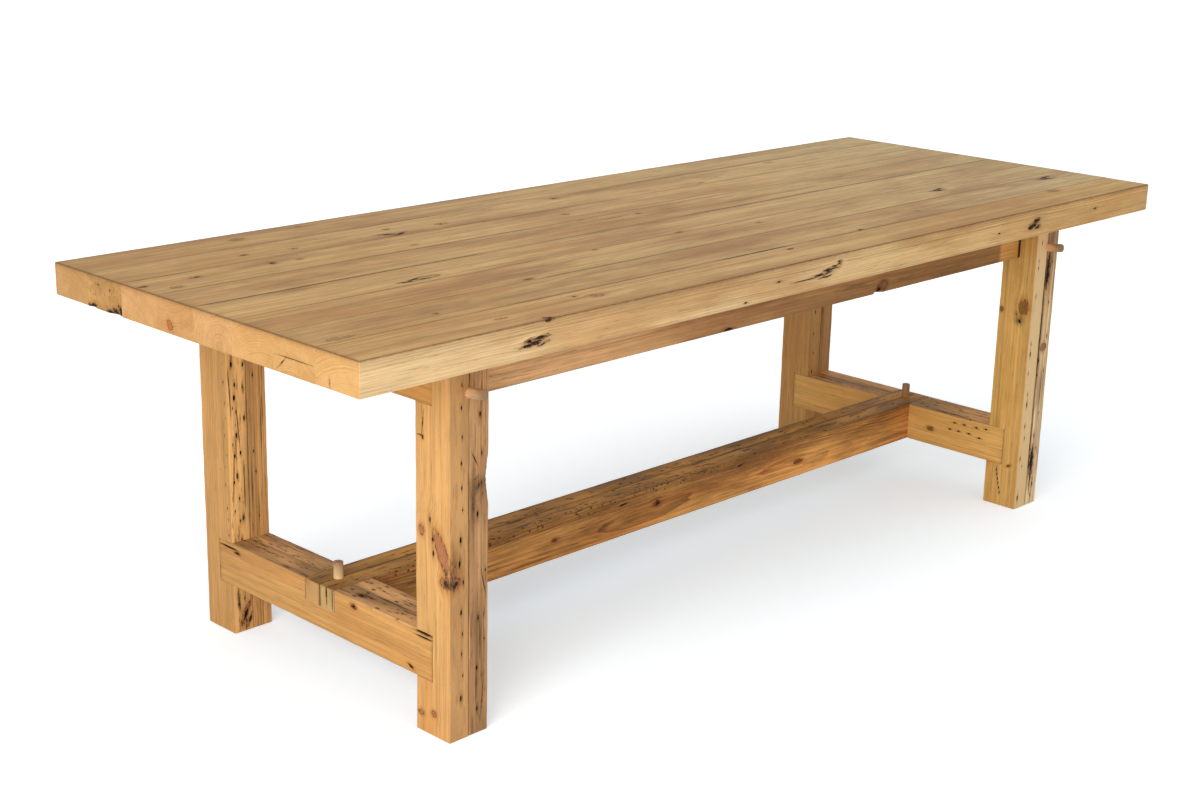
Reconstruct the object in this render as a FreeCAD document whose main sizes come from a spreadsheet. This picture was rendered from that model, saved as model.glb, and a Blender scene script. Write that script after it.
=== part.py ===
import FreeCAD
import Part
import Sketcher
import os

# Trestle dining table of reclaimed timber, in millimetres.
# +X runs along the length (left end at -X), the front long side faces -Y, +Z is up.
# The origin is on the floor, under the middle of the top.

dimensions = {
    "top_length": 2400,
    "plank_width": 112.5,
    "top_thickness": 62,
    "table_height": 768,
    "timber_thickness": 45,  # legs, rails and stretcher are two timbers glued face to face
    "timber_width": 90,
    "end_overhang": 253,  # end of the top to the legs' outer faces
    "side_overhang": 80,  # long side of the top to the legs' outer faces
    "foot_rail_height": 104,  # floor to the underside of the foot rails and stretcher
    "housing_depth": 45,  # how far a rail's end reaches into the leg
    "lap_depth": 45,  # stretcher's tongue, let into the top of the foot rail
    "lap_fit": 0.3,  # room around the tongue, so that the stretcher lifts out
    "peg_diameter": 19,
    "peg_fit": 0.05,  # radial room of a peg in its bore
    "peg_bevel": 1.5,
    "leg_peg_rise": 25,  # underside of the top rail to the peg's centre, on the leg's face
    "leg_peg_depth": 75,  # leg's face to the bottom of the bore, along the peg
    "leg_peg_proud": 38,
    "leg_peg_tilt": 7,  # degrees, outer end higher, so that the peg stays in
    "stretcher_peg_proud": 33,
    "stretcher_peg_floor": 8,  # wood left under an upright peg
    "dowel_diameter": 12,
    "dowel_length": 60,
    "dowel_fit": 0.1,  # radial room of a dowel in its hole
    "dowel_end_room": 1,
    "apron_dowel_seat": 28,  # depth of the aprons' dowels in the top rails
    "screw_diameter": 8,
    "screw_length": 95,  # under the head
    "screw_point": 10,
    "screw_head_width": 13,  # across the flats
    "screw_head_height": 5.5,
    "screw_fit": 0.2,  # radial room of a screw in its hole
    "screw_end_room": 1,
    "washer_diameter": 21,
    "washer_thickness": 1.6,
    "counterbore_diameter": 24,
    "counterbore_depth": 40,
    "overrun": 5,  # how far a cutter reaches past the face that it opens
}

# Counts, sides and ends. A sign gives the direction from the middle of the table.
plank_count = 8
hexagon_sides = 6
ends = (("left", -1), ("right", 1))
sides = (("front", -1), ("back", 1))
layers = (("outer", 0), ("inner", 1))

# Places along a piece, as shares of its half length or of its width.
plank_dowel_shares = (-0.85, -0.5, -0.15, 0.15, 0.5, 0.85)
apron_dowel_shares = (0.3, 0.7)
apron_screw_shares = (-0.53, 0, 0.53)
# Screws in the top rails stand under plank centres, counted in plank widths from the middle.
rail_screw_plank_shares = (-1.5, -0.5, 0.5, 1.5)

doc = FreeCAD.newDocument("trestle_table")
sizes = doc.addObject("Spreadsheet::Sheet", "sizes")
for row, (alias, value) in enumerate(dimensions.items(), start=1):
    sizes.set(f"A{row}", alias)
    sizes.set(f"B{row}", str(value))
    sizes.setAlias(f"B{row}", alias)
doc.recompute()

# Faces and levels that several pieces share, as formulas on the sheet.
thick = "sizes.timber_thickness"
wide = "sizes.timber_width"
over = "sizes.overrun"
half_length = "(sizes.top_length / 2)"
half_width = f"({plank_count} * sizes.plank_width / 2)"
underside = "(sizes.table_height - sizes.top_thickness)"
top_rail_bottom = f"({underside} - {wide})"
leg_x = f"({half_length} - sizes.end_overhang)"
leg_middle_x = f"({leg_x} - {thick})"
leg_inner_x = f"({leg_x} - 2 * {thick})"
leg_y = f"({half_width} - sizes.side_overhang)"
leg_inner_y = f"({leg_y} - {wide})"
rail_half_length = f"({leg_inner_y} + sizes.housing_depth)"
apron_middle_y = f"({leg_inner_y} + {thick} / 2)"
foot_rail_bottom = "sizes.foot_rail_height"
foot_rail_top = f"({foot_rail_bottom} + {wide})"
lap_floor = f"({foot_rail_top} - sizes.lap_depth)"
peg_radius = "(sizes.peg_diameter / 2)"
screw_radius = "(sizes.screw_diameter / 2)"
screw_seat = f"({top_rail_bottom} + sizes.counterbore_depth)"
screw_start = f"({screw_seat} - sizes.washer_thickness)"

parts = []


def bind(item, **formulas):
    for path, formula in formulas.items():
        item.setExpression(path.replace("__", "."), formula)


def place(item, x, y, z):
    bind(item, Placement__Base__x=x, Placement__Base__y=y, Placement__Base__z=z)


def signed(sign, formula):
    return formula if sign > 0 else f"-({formula})"


def span(sign, near, far):
    # The interval from near to far of the middle, on the side that the sign names.
    return (near, far) if sign > 0 else (f"-({far})", f"-({near})")


def across(reach):
    return f"-({reach})", reach


def block(name, x_span, y_span, z_span):
    item = doc.addObject("Part::Box", name)
    lengths = [f"({high}) - ({low})" for low, high in (x_span, y_span, z_span)]
    bind(item, Length=lengths[0], Width=lengths[1], Height=lengths[2])
    place(item, x_span[0], y_span[0], z_span[0])
    return item


def rod(name, radius, height, x, y, z, axis=(0, 0, 1)):
    item = doc.addObject("Part::Cylinder", name)
    bind(item, Radius=radius, Height=height)
    item.Placement.Rotation = FreeCAD.Rotation(FreeCAD.Vector(0, 0, 1), FreeCAD.Vector(axis))
    place(item, x, y, z)
    return item


def group(name, items):
    item = doc.addObject("Part::Compound", name)
    item.Links = items
    return item


def finish(label, item):
    item.Label = label
    parts.append(item)


def carve(label, blank, cutters):
    # The blank less each cutter in turn.
    item = blank
    for cutter in cutters:
        rest = doc.addObject("Part::Cut", f"{label}_less_{cutter.Name}")
        rest.Base = item
        rest.Tool = cutter
        item = rest
    finish(label, item)


def turned(name, profile):
    # A body turned about its own Z. The profile's corners are formulas for radius and height.
    body = doc.addObject("PartDesign::Body", name)
    plane = next(item for item in body.Origin.OriginFeatures if item.Role == "XZ_Plane")
    sketch = body.newObject("Sketcher::SketchObject", f"{name}_profile")
    sketch.AttachmentSupport = [(plane, "")]
    sketch.MapMode = "FlatFace"
    corners = [[sizes.evalExpression(formula) for formula in corner] for corner in profile]
    following = [*range(1, len(profile)), 0]
    for corner, after in zip(corners, following):
        line = Part.LineSegment(FreeCAD.Vector(*corner), FreeCAD.Vector(*corners[after]))
        sketch.addGeometry(line, False)
    for index, after in enumerate(following):
        sketch.addConstraint(Sketcher.Constraint("Coincident", index, 2, after, 1))
    # A sketch's own upright axis is number -2 and its level axis -1.
    measures = (("DistanceX", -2), ("DistanceY", -1))
    for index, corner in enumerate(profile):
        for (kind, axis), formula, value in zip(measures, corner, corners[index]):
            if value == 0:
                sketch.addConstraint(Sketcher.Constraint("PointOnObject", index, 1, axis))
            else:
                number = sketch.addConstraint(Sketcher.Constraint(kind, -1, 1, index, 1, value))
                sketch.setExpression(f"Constraints[{number}]", formula)
    turning = body.newObject("PartDesign::Revolution", f"{name}_turning")
    turning.Profile = sketch
    turning.ReferenceAxis = (sketch, ["V_Axis"])
    return body


def tilt(item, sign):
    # Leans the item's own Z out over the long side that the sign names, a little above level.
    bind(
        item,
        Placement__Rotation__Axis__x="1",
        Placement__Rotation__Axis__y="0",
        Placement__Rotation__Axis__z="0",
        Placement__Rotation__Angle=signed(-sign, "90 - sizes.leg_peg_tilt"),
    )


# Pegs and the bores that they slide in.
def peg(label, length):
    slim = f"{peg_radius} - sizes.peg_bevel"
    body = turned(label, (
        ("0", "0"),
        (slim, "0"),
        (peg_radius, "sizes.peg_bevel"),
        (peg_radius, f"{length} - sizes.peg_bevel"),
        (slim, length),
        ("0", length),
    ))
    finish(label, body)
    return body


peg_bore_radius = f"{peg_radius} + sizes.peg_fit"
leg_bores = []
stretcher_bores = []
for end, end_sign in ends:
    peg_x = signed(end_sign, leg_middle_x)
    for side, side_sign in sides:
        foot_y = signed(side_sign, f"{leg_y} - sizes.leg_peg_depth * cos(sizes.leg_peg_tilt)")
        foot_z = f"{top_rail_bottom} + sizes.leg_peg_rise - sizes.leg_peg_depth * sin(sizes.leg_peg_tilt)"
        leg_peg = peg(f"{side}_{end}_leg_peg", "sizes.leg_peg_depth + sizes.leg_peg_proud")
        place(leg_peg, peg_x, foot_y, foot_z)
        tilt(leg_peg, side_sign)
        bore_length = f"sizes.leg_peg_depth + {over}"
        bore = rod(f"{side}_{end}_bore", peg_bore_radius, bore_length, peg_x, foot_y, foot_z)
        tilt(bore, side_sign)
        leg_bores.append(bore)
    foot_z = f"{foot_rail_bottom} + sizes.stretcher_peg_floor"
    held = f"{wide} - sizes.stretcher_peg_floor"
    place(peg(f"{end}_stretcher_peg", f"{held} + sizes.stretcher_peg_proud"), peg_x, "0", foot_z)
    stretcher_bores.append(rod(f"{end}_lap_bore", peg_bore_radius, f"{held} + {over}", peg_x, "0", foot_z))
leg_peg_bores = group("leg_peg_bores", leg_bores)
stretcher_peg_bores = group("stretcher_peg_bores", stretcher_bores)


# Dowels, each in a hole with a little room. The centre is the middle of the dowel.
def dowels(label, centres, axis):
    pins = []
    holes = []
    for index, centre in enumerate(centres):
        for items, kind, room, fit in (
            (pins, "pin", "0", "0"),
            (holes, "hole", "sizes.dowel_end_room", "sizes.dowel_fit"),
        ):
            half = f"(sizes.dowel_length / 2 + {room})"
            start = [f"{place_on_axis} - {step} * {half}" for place_on_axis, step in zip(centre, axis)]
            radius = f"sizes.dowel_diameter / 2 + {fit}"
            items.append(rod(f"{label}_{kind}_{index}", radius, f"2 * {half}", *start, axis))
    finish(label, group(label, pins))
    return group(f"{label}_holes", holes)


plank_seams = [f"{seam - plank_count / 2} * sizes.plank_width" for seam in range(1, plank_count)]
plank_middle_z = "sizes.table_height - sizes.top_thickness / 2"
plank_dowel_holes = dowels(
    "plank_dowels",
    [
        (f"{share} * {half_length}", seam, plank_middle_z)
        for seam in plank_seams
        for share in plank_dowel_shares
    ],
    (0, 1, 0),
)
foot_rail_dowel_holes = dowels(
    "foot_rail_dowels",
    [
        (
            signed(end_sign, f"{leg_x} - (2 * {layer} + 1) * {thick} / 2"),
            signed(side_sign, rail_half_length),
            f"{foot_rail_bottom} + {wide} / 2",
        )
        for end, end_sign in ends
        for side, side_sign in sides
        for name, layer in layers
    ],
    (0, 1, 0),
)
apron_dowel_holes = dowels(
    "apron_dowels",
    [
        (
            signed(end_sign, f"{leg_inner_x} + sizes.apron_dowel_seat - sizes.dowel_length / 2"),
            signed(side_sign, apron_middle_y),
            f"{underside} - {share} * {wide}",
        )
        for end, end_sign in ends
        for side, side_sign in sides
        for share in apron_dowel_shares
    ],
    (1, 0, 0),
)

# Coach screws and washers that hold the top down on the top rails and the aprons.
screw_places = [
    (signed(end_sign, f"{leg_inner_x} + {thick} / 2"), f"{share} * sizes.plank_width")
    for end, end_sign in ends
    for share in rail_screw_plank_shares
]
screw_places += [
    (f"{share} * {leg_inner_x}", signed(side_sign, apron_middle_y))
    for side, side_sign in sides
    for share in apron_screw_shares
]
screws = []
washers = []
screw_holes = []
counterbores = []
for index, (x, y) in enumerate(screw_places):
    head = doc.addObject("Part::Prism", f"screw_head_{index}")
    head.Polygon = hexagon_sides
    head_radius = f"sizes.screw_head_width / 2 / cos(180 / {hexagon_sides})"
    bind(head, Circumradius=head_radius, Height="sizes.screw_head_height")
    place(head, x, y, f"{screw_start} - sizes.screw_head_height")
    shank_length = "(sizes.screw_length - sizes.screw_point)"
    shank = rod(f"screw_shank_{index}", screw_radius, shank_length, x, y, screw_start)
    point = doc.addObject("Part::Cone", f"screw_point_{index}")
    bind(point, Radius1=screw_radius, Radius2="0", Height="sizes.screw_point")
    place(point, x, y, f"{screw_start} + {shank_length}")
    screw = doc.addObject("Part::MultiFuse", f"screw_{index}")
    screw.Shapes = [head, shank, point]
    screws.append(screw)

    washer_radius = "sizes.washer_diameter / 2"
    disc = rod(f"washer_disc_{index}", washer_radius, "sizes.washer_thickness", x, y, screw_start)
    hole_radius = f"{screw_radius} + sizes.screw_fit"
    hole_length = f"sizes.screw_length + sizes.screw_end_room + {over}"
    hole = rod(f"screw_hole_{index}", hole_radius, hole_length, x, y, f"{screw_start} - {over}")
    washer = doc.addObject("Part::Cut", f"washer_{index}")
    washer.Base = disc
    washer.Tool = hole
    washers.append(washer)
    screw_holes.append(hole)
    counterbores.append(rod(
        f"counterbore_{index}",
        "sizes.counterbore_diameter / 2",
        f"sizes.counterbore_depth + {over}",
        x, y, f"{top_rail_bottom} - {over}",
    ))
finish("top_screws", group("top_screws", screws))
finish("top_screw_washers", group("top_screw_washers", washers))
top_screw_holes = group("top_screw_holes", screw_holes)
top_counterbores = group("top_counterbores", counterbores)

# Planks of the top, counted from the front edge.
for index in range(plank_count):
    low, high = [f"{edge - plank_count / 2} * sizes.plank_width" for edge in (index, index + 1)]
    label = f"top_plank_{index + 1}"
    plank = block(f"{label}_blank", across(half_length), (low, high), (underside, "sizes.table_height"))
    carve(label, plank, [plank_dowel_holes, top_screw_holes])

# Legs, foot rails and top rails of the two end frames. Rails are housed in the legs' inner halves.
foot_rail_span = (foot_rail_bottom, foot_rail_top)
top_rail_span = (top_rail_bottom, underside)
top_housing_span = (top_rail_bottom, f"{underside} + {over}")
for end, end_sign in ends:
    whole_leg = span(end_sign, f"{leg_inner_x} - {over}", f"{leg_x} + {over}")
    lap_width = across(f"({thick} + sizes.lap_fit)")
    lap = block(f"{end}_lap", whole_leg, lap_width, (lap_floor, f"{foot_rail_top} + {over}"))
    housings = {}
    for side, side_sign in sides:
        reach = span(side_sign, f"{leg_inner_y} - {over}", rail_half_length)
        housings[side] = [
            block(f"{side}_{end}_foot_housing", whole_leg, reach, foot_rail_span),
            block(f"{side}_{end}_top_housing", whole_leg, reach, top_housing_span),
        ]
    for name, layer in layers:
        x_span = span(end_sign, f"{leg_x} - {layer + 1} * {thick}", f"{leg_x} - {layer} * {thick}")
        for side, side_sign in sides:
            label = f"{side}_{end}_leg_{name}"
            leg = block(f"{label}_blank", x_span, span(side_sign, leg_inner_y, leg_y), ("0", underside))
            carve(label, leg, [*housings[side], leg_peg_bores, foot_rail_dowel_holes])
        label = f"{end}_foot_rail_{name}"
        foot_rail = block(f"{label}_blank", x_span, across(rail_half_length), foot_rail_span)
        carve(label, foot_rail, [lap, stretcher_peg_bores, foot_rail_dowel_holes])
        label = f"{end}_top_rail_{name}"
        top_rail = block(f"{label}_blank", x_span, across(rail_half_length), top_rail_span)
        carve(label, top_rail, [leg_peg_bores, apron_dowel_holes, top_screw_holes, top_counterbores])

# Long aprons between the top rails, in line with the legs' inner halves.
for side, side_sign in sides:
    label = f"{side}_apron"
    y_span = span(side_sign, leg_inner_y, f"{leg_inner_y} + {thick}")
    apron = block(f"{label}_blank", across(leg_inner_x), y_span, top_rail_span)
    carve(label, apron, [apron_dowel_holes, top_screw_holes, top_counterbores])

# Stretcher, with a tongue at each end that lies in the foot rail's lap.
shoulders = [
    block(
        f"{end}_shoulder",
        span(end_sign, f"{leg_inner_x} - sizes.lap_fit", f"{leg_x} + {over}"),
        across(f"({thick} + {over})"),
        (f"{foot_rail_bottom} - {over}", lap_floor),
    )
    for end, end_sign in ends
]
for side, side_sign in sides:
    label = f"{side}_stretcher"
    stretcher = block(f"{label}_blank", across(leg_x), span(side_sign, "0", thick), foot_rail_span)
    carve(label, stretcher, [*shoulders, stretcher_peg_bores])

doc.recompute()
for item in doc.Objects:
    if "Invalid" in item.State or "Error" in item.State:
        raise RuntimeError(f"{item.Label} did not recompute: {item.State}")
os.makedirs("parts", exist_ok=True)
for item in parts:
    if item.Shape.isNull() or not item.Shape.isValid():
        raise RuntimeError(f"{item.Label} has no valid shape")
for item in parts:
    item.Shape.exportStep(f"parts/{item.Label}.step")
    print(item.Label, len(item.Shape.Solids), round(item.Shape.Volume))
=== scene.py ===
import math
from functools import partial
from types import SimpleNamespace

import bpy
import numpy as np
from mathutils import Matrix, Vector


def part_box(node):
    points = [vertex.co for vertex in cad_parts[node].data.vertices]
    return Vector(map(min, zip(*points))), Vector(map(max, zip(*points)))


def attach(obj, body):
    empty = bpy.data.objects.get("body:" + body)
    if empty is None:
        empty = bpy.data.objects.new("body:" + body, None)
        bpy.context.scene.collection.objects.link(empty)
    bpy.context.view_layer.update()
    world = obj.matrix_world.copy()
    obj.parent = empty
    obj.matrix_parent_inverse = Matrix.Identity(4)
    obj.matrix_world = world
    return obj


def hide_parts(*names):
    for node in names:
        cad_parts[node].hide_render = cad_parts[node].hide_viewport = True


# Trestle dining table of reclaimed pine. The dictionaries are in millimetres and degrees,
# in the table's own frame: x along the length, the front long side at -y, z up.

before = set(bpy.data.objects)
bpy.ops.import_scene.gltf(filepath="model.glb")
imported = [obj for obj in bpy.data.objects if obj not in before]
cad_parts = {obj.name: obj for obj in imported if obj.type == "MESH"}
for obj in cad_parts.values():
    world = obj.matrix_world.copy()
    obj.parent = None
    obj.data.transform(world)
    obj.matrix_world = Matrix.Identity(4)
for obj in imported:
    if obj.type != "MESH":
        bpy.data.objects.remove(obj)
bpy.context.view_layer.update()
mm, tiny = 0.001, 1e-9
print("frame loaded:", len(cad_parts), "nodes")

ends = ("left", "right")
sides = (("front", -1), ("back", 1))
layers = ("outer", "inner")
faceAxis = {"-X": (0, -1), "+X": (0, 1), "-Y": (1, -1), "+Y": (1, 1), "-Z": (2, -1), "+Z": (2, 1)}
sideFace = {"front": "-Y", "back": "+Y"}


def nodeBox(name):
    return np.array([list(corner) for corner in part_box(name)])


def facePlace(box, face):
    # A face's axis and sign, and where it lies on that axis.
    axis, sign = faceAxis[face]
    return axis, sign, box[(sign + 1) // 2][axis]


def inPlane(axis):
    return [i for i in range(3) if i != axis]


def crossing(faceA, faceB):
    # The axis along the edge between two faces.
    return 3 - faceAxis[faceA][0] - faceAxis[faceB][0]


def seamFace(end, layer):
    # The face of a timber that its twin is glued to.
    return "+X" if (layer == "outer") == (end == "left") else "-X"


def placed(board, label):
    # Each mark of one kind, with its face first.
    return [(face, *mark) for face, rows in board.get(label, ()) for mark in rows]


# Timber surfaces
lattice = dict(
    lineGap=0.5, clearShare=0.8,  # the least gap between lines, and its share beside a hard line
    easeShares=(0.3, 0.65, 1.0, 1.3),  # lines inside a rounded edge, in radii
    edgeLines=(1.5, 3, 5, 10),  # lines beside an edge, for its wear
    holeShares=(-2.6, -1.3, -0.7, 0, 0.7, 1.3, 2.6),  # lines across a hole, in half sizes
    stainShares=(-2, -1, 0, 1, 2),  # lines across a stain, in half sizes
    slitGap=1.2, slitLines=(5, 28), slitReach=1.1,  # lines across a slit that runs aslant
    waneAlong=np.linspace(-1.2, 1.2, 17), waneAcross=np.linspace(0.15, 1.2, 6),  # lines on a waney edge
    boreShares=(-1, -0.577, -0.268, 0, 0.268, 0.577, 1),  # even angles round a bore
    boreFade=1.75,  # radii from a bore's axis at which the square lattice is left as it was
)
wear = dict(
    nailHalf=(0.62, 0.75), nailStain=(1.5, 4.0),  # across the grain and more along it, in nail sizes
    nailDepth=1.3, nailSpread=1.35, checkStain=2, checkDepth=2.0, checkSpread=1.0, smearSpread=0.01,
    rim=(1.25, 0.6), stainShare=0.4, easeSwing=0.45, easeWaves=(0.31, 0.13, 0.057),
    waneNear=1.6, waneBase=0.9, waneSwing=0.14, wanePower=0.6, waneWaves=(0.023, 0.011), waneSeed=7,
    seamReach=2.2, seamFade=40, seamWear=1.2, edgeReach=3.5, sharpAngle=35, onFace=0.01,
)


def axisLines(low, high, pitch, hard, soft):
    # Hard lines stay exactly where they are; even and soft lines fill in between them.
    gap = lattice["lineGap"] * mm
    hard = np.unique(np.clip([low, high, *hard], low, high).round(7))
    even = np.linspace(low, high, max(2, math.ceil((high - low) / pitch) + 1))
    soft = np.concatenate([even, np.asarray(soft, float)])
    soft = np.unique((soft[(soft > low) & (soft < high)] / gap).round()) * gap
    clear = np.abs(soft[:, None] - hard[None]).min(1) > lattice["clearShare"] * gap
    return np.sort(np.concatenate([hard, soft[clear]]))


def latticeSkin(lines, cuts):
    # The skin of a block of lattice cells, less the cells inside the cuts:
    # one quad wherever a filled cell meets an empty one, facing the empty one.
    middles = [(line[1:] + line[:-1]) / 2 for line in lines]
    filled = np.ones([len(middle) for middle in middles], bool)
    for low, high in cuts:
        inside = [(middle > a) & (middle < b) for middle, a, b in zip(middles, low, high)]
        filled[np.ix_(*inside)] = False
    shape = [len(line) for line in lines]
    padded = np.pad(filled, 1).astype(np.int8)
    quads = []
    for axis in range(3):
        change = np.diff(padded, axis=axis)
        second, third = (axis + 1) % 3, (axis + 2) % 3
        for sign, ring in ((-1, ((0, 0), (1, 0), (1, 1), (0, 1))), (1, ((0, 0), (0, 1), (1, 1), (1, 0)))):
            cells = np.argwhere(change == sign) - 1
            cells[:, axis] += 1
            corners = []
            for a, b in ring:
                moved = cells.copy()
                moved[:, second] += a
                moved[:, third] += b
                corners.append(np.ravel_multi_index(moved.T, shape))
            quads.append(np.stack(corners, 1))
    used, number = np.unique(np.concatenate(quads), return_inverse=True)
    places = np.unravel_index(used, shape)
    points = np.stack([line[place] for line, place in zip(lines, places)], 1)
    return points, number.reshape(-1, 4)


def waves(t, seed, lengths):
    # A sum of sines of the given wave lengths, each with a seeded phase, between -1 and 1.
    phases = np.random.default_rng(seed).uniform(0, 2 * np.pi, len(lengths))
    parts = [np.sin(2 * np.pi * t / length + phase) for length, phase in zip(lengths, phases)]
    return sum(parts) / len(lengths)


def markHoles(board, along):
    # Nail holes are ovals along the grain, checks are slits, smears are stains without depth.
    holes = []
    for face, a, b, size in placed(board, "nails"):
        long = np.array([float(i == along) for i in inPlane(faceAxis[face][0])])
        half, stain = (size * (wear[key][0] + wear[key][1] * long) for key in ("nailHalf", "nailStain"))
        holes.append(dict(face=face, at=(a, b), half=half, stain=stain, depth=wear["nailDepth"] * size,
                          spread=wear["nailSpread"], shade=1.0, turn=0))
    for face, a, b, halfA, halfB, *turn in placed(board, "checks"):
        stain = (halfA + wear["checkStain"], halfB + wear["checkStain"])
        holes.append(dict(face=face, at=(a, b), half=(halfA, halfB), stain=stain, depth=wear["checkDepth"],
                          spread=wear["checkSpread"], shade=1.0, turn=sum(turn)))
    for face, a, b, halfA, halfB, shade, *turn in placed(board, "smears"):
        holes.append(dict(face=face, at=(a, b), half=(halfA / 2, halfB / 2), stain=(halfA, halfB), depth=0.0,
                          spread=wear["smearSpread"], shade=shade, turn=sum(turn)))
    return holes


def holeLines(soft, hole):
    # Lattice lines on both axes of a hole's face, over as much as the turned hole reaches.
    angle = math.radians(hole["turn"])
    c, s = abs(math.cos(angle)), abs(math.sin(angle))
    halfA, halfB = hole["half"]
    reaches = (c * halfA + s * halfB, s * halfA + c * halfB)
    for axis, at, half in zip(inPlane(faceAxis[hole["face"]][0]), hole["at"], reaches):
        if hole["depth"] == 0:
            shares = np.array(lattice["stainShares"])
        elif hole["turn"]:
            reach = lattice["slitReach"]
            count = int(np.clip(2 * reach * half / lattice["slitGap"], *lattice["slitLines"]))
            shares = np.linspace(-reach, reach, count)
        else:
            shares = np.array(lattice["holeShares"])
        soft[axis] += list((at + shares * half) * mm)


def roundBores(points, bores):
    # A square hole in the lattice becomes round: each point moves along its ray from the axis until
    # its distance is the half side of its square, wholly at the rim and less further out.
    for bore in bores:
        axis, centre = bore["axis"], bore["centre"]
        a, b = inPlane(axis)
        u, v = points[:, a] - centre[a], points[:, b] - centre[b]
        square = np.maximum(np.abs(u), np.abs(v))
        fade = lattice["boreFade"]
        near = np.clip((fade - square / bore["radius"]) / (fade - 1), 0, 1)
        low, high = sorted(bore["reach"])
        along = points[:, axis].copy()
        near *= (along > low - mm) & (along < high + mm)
        scale = 1 + near * (square / np.maximum(np.hypot(u, v), tiny) - 1)
        points[:, a] = centre[a] + u * scale
        points[:, b] = centre[b] + v * scale
        points[:, 2] += near * bore.get("lean", 0) * (along - centre[axis])


def pressHoles(points, rest, box, holes):
    # A hole is a dent with a flat floor. Its darkness fades as a bell curve past its rim,
    # and a fainter stain runs out further, most along the grain.
    dark = np.zeros(len(points))
    rimStart, rimWidth = wear["rim"]
    for hole in holes:
        axis, sign, level = facePlace(box, hole["face"])
        first, second = inPlane(axis)
        onFace = np.abs(rest[:, axis] - level) < wear["onFace"] * mm
        u, v = rest[:, first] / mm - hole["at"][0], rest[:, second] / mm - hole["at"][1]
        c, s = math.cos(math.radians(hole["turn"])), math.sin(math.radians(hole["turn"]))
        u, v = c * u + s * v, c * v - s * u
        reach = np.hypot(u / hole["half"][0], v / hole["half"][1])
        points[:, axis] -= sign * hole["depth"] * mm * np.clip((rimStart - reach) / rimWidth, 0, 1) * onFace
        stain = np.hypot(u / hole["stain"][0], v / hole["stain"][1])
        bell, halo = np.exp(-((reach / hole["spread"]) ** 2)), np.exp(-(stain ** 2))
        shade = np.maximum(bell, wear["stainShare"] * halo)
        dark = np.maximum(dark, onFace * shade * hole["shade"])
    return dark


def edgeRadius(rest, box, run, board):
    # Eased edges waver along the board; a wane is a bump of larger radius on one edge.
    radius = board["ease"] * mm * (1 + wear["easeSwing"] * waves(run, board["seed"], wear["easeWaves"]))
    for faceA, faceB, centre, half, depth in board.get("wanes", ()):
        near = np.ones(len(rest))
        for axis, _, level in (facePlace(box, faceA), facePlace(box, faceB)):
            near *= np.abs(rest[:, axis] - level) < wear["waneNear"] * depth * mm
        beside = rest[:, crossing(faceA, faceB)]
        bump = np.clip(1 - np.abs(beside / mm - centre) / half, 0, 1)
        wobble = waves(beside, board["seed"] + wear["waneSeed"], wear["waneWaves"])
        bump *= wear["waneBase"] + wear["waneSwing"] * wobble
        radius = np.maximum(radius, near * bump ** wear["wanePower"] * depth * mm)
    return radius


def seamDirt(rest, box, run, board):
    # Dirt fades away from a glued face, and at both ends of each stretch.
    dirt = np.zeros(len(rest))
    for face, stretches in board.get("seams", ()):
        axis, _, level = facePlace(box, face)
        near = np.exp(-np.abs(rest[:, axis] - level) / (wear["seamReach"] * mm))
        for start, stop, strength in stretches:
            into, left = (run / mm - start) / wear["seamFade"], (stop - run / mm) / wear["seamFade"]
            dirt = np.maximum(dirt, near * np.clip(into, 0, 1) * np.clip(left, 0, 1) * strength)
    return dirt


def easeEdges(points, box, radius):
    # Points past the box shrunk by the radius are drawn back onto a ball of that radius.
    inner = np.clip(points, box[0] + radius[:, None], box[1] - radius[:, None])
    out = points - inner
    reach = np.linalg.norm(out, axis=1)
    return inner + out * np.minimum(1, radius / np.maximum(reach, tiny))[:, None]


def edgeWear(rest, box, board):
    # Wear fades away from every edge, and as told from the arrises that are rubbed more.
    gaps = np.sort(np.minimum(rest - box[0], box[1] - rest), axis=1)
    reach = board.get("edgeReach", wear["edgeReach"])
    edge = board.get("edgeShare", 1.0) * np.exp(-gaps[:, 1] / (reach * mm))
    for faceA, faceB, strength, reach in board.get("arrises", ()):
        places = (facePlace(box, faceA), facePlace(box, faceB))
        far = [np.abs(rest[:, axis] - level) for axis, _, level in places]
        edge = np.maximum(edge, strength * np.exp(-np.maximum(*far) / (reach * mm)))
    return edge


def putObject(name, data):
    item = bpy.data.objects.new(name, data)
    bpy.context.scene.collection.objects.link(item)
    return item


def putMesh(name, points, quads, values):
    mesh = bpy.data.meshes.new(name)
    mesh.vertices.add(len(points))
    mesh.vertices.foreach_set("co", points.astype(np.float32).ravel())
    mesh.loops.add(quads.size)
    mesh.loops.foreach_set("vertex_index", quads.astype(np.int32).ravel())
    mesh.polygons.add(len(quads))
    mesh.polygons.foreach_set("loop_start", np.arange(len(quads), dtype=np.int32) * quads.shape[1])
    for label, value in values.items():
        mesh.attributes.new(label, "FLOAT", "POINT").data.foreach_set("value", value.astype(np.float32))
    mesh.update(calc_edges=True)
    mesh.shade_smooth()
    mesh.set_sharp_from_angle(angle=math.radians(wear["sharpAngle"]))
    return putObject(name, mesh)


def camel(node):
    first, *rest = node.split("_")
    return first + "".join(word.capitalize() for word in rest)


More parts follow.
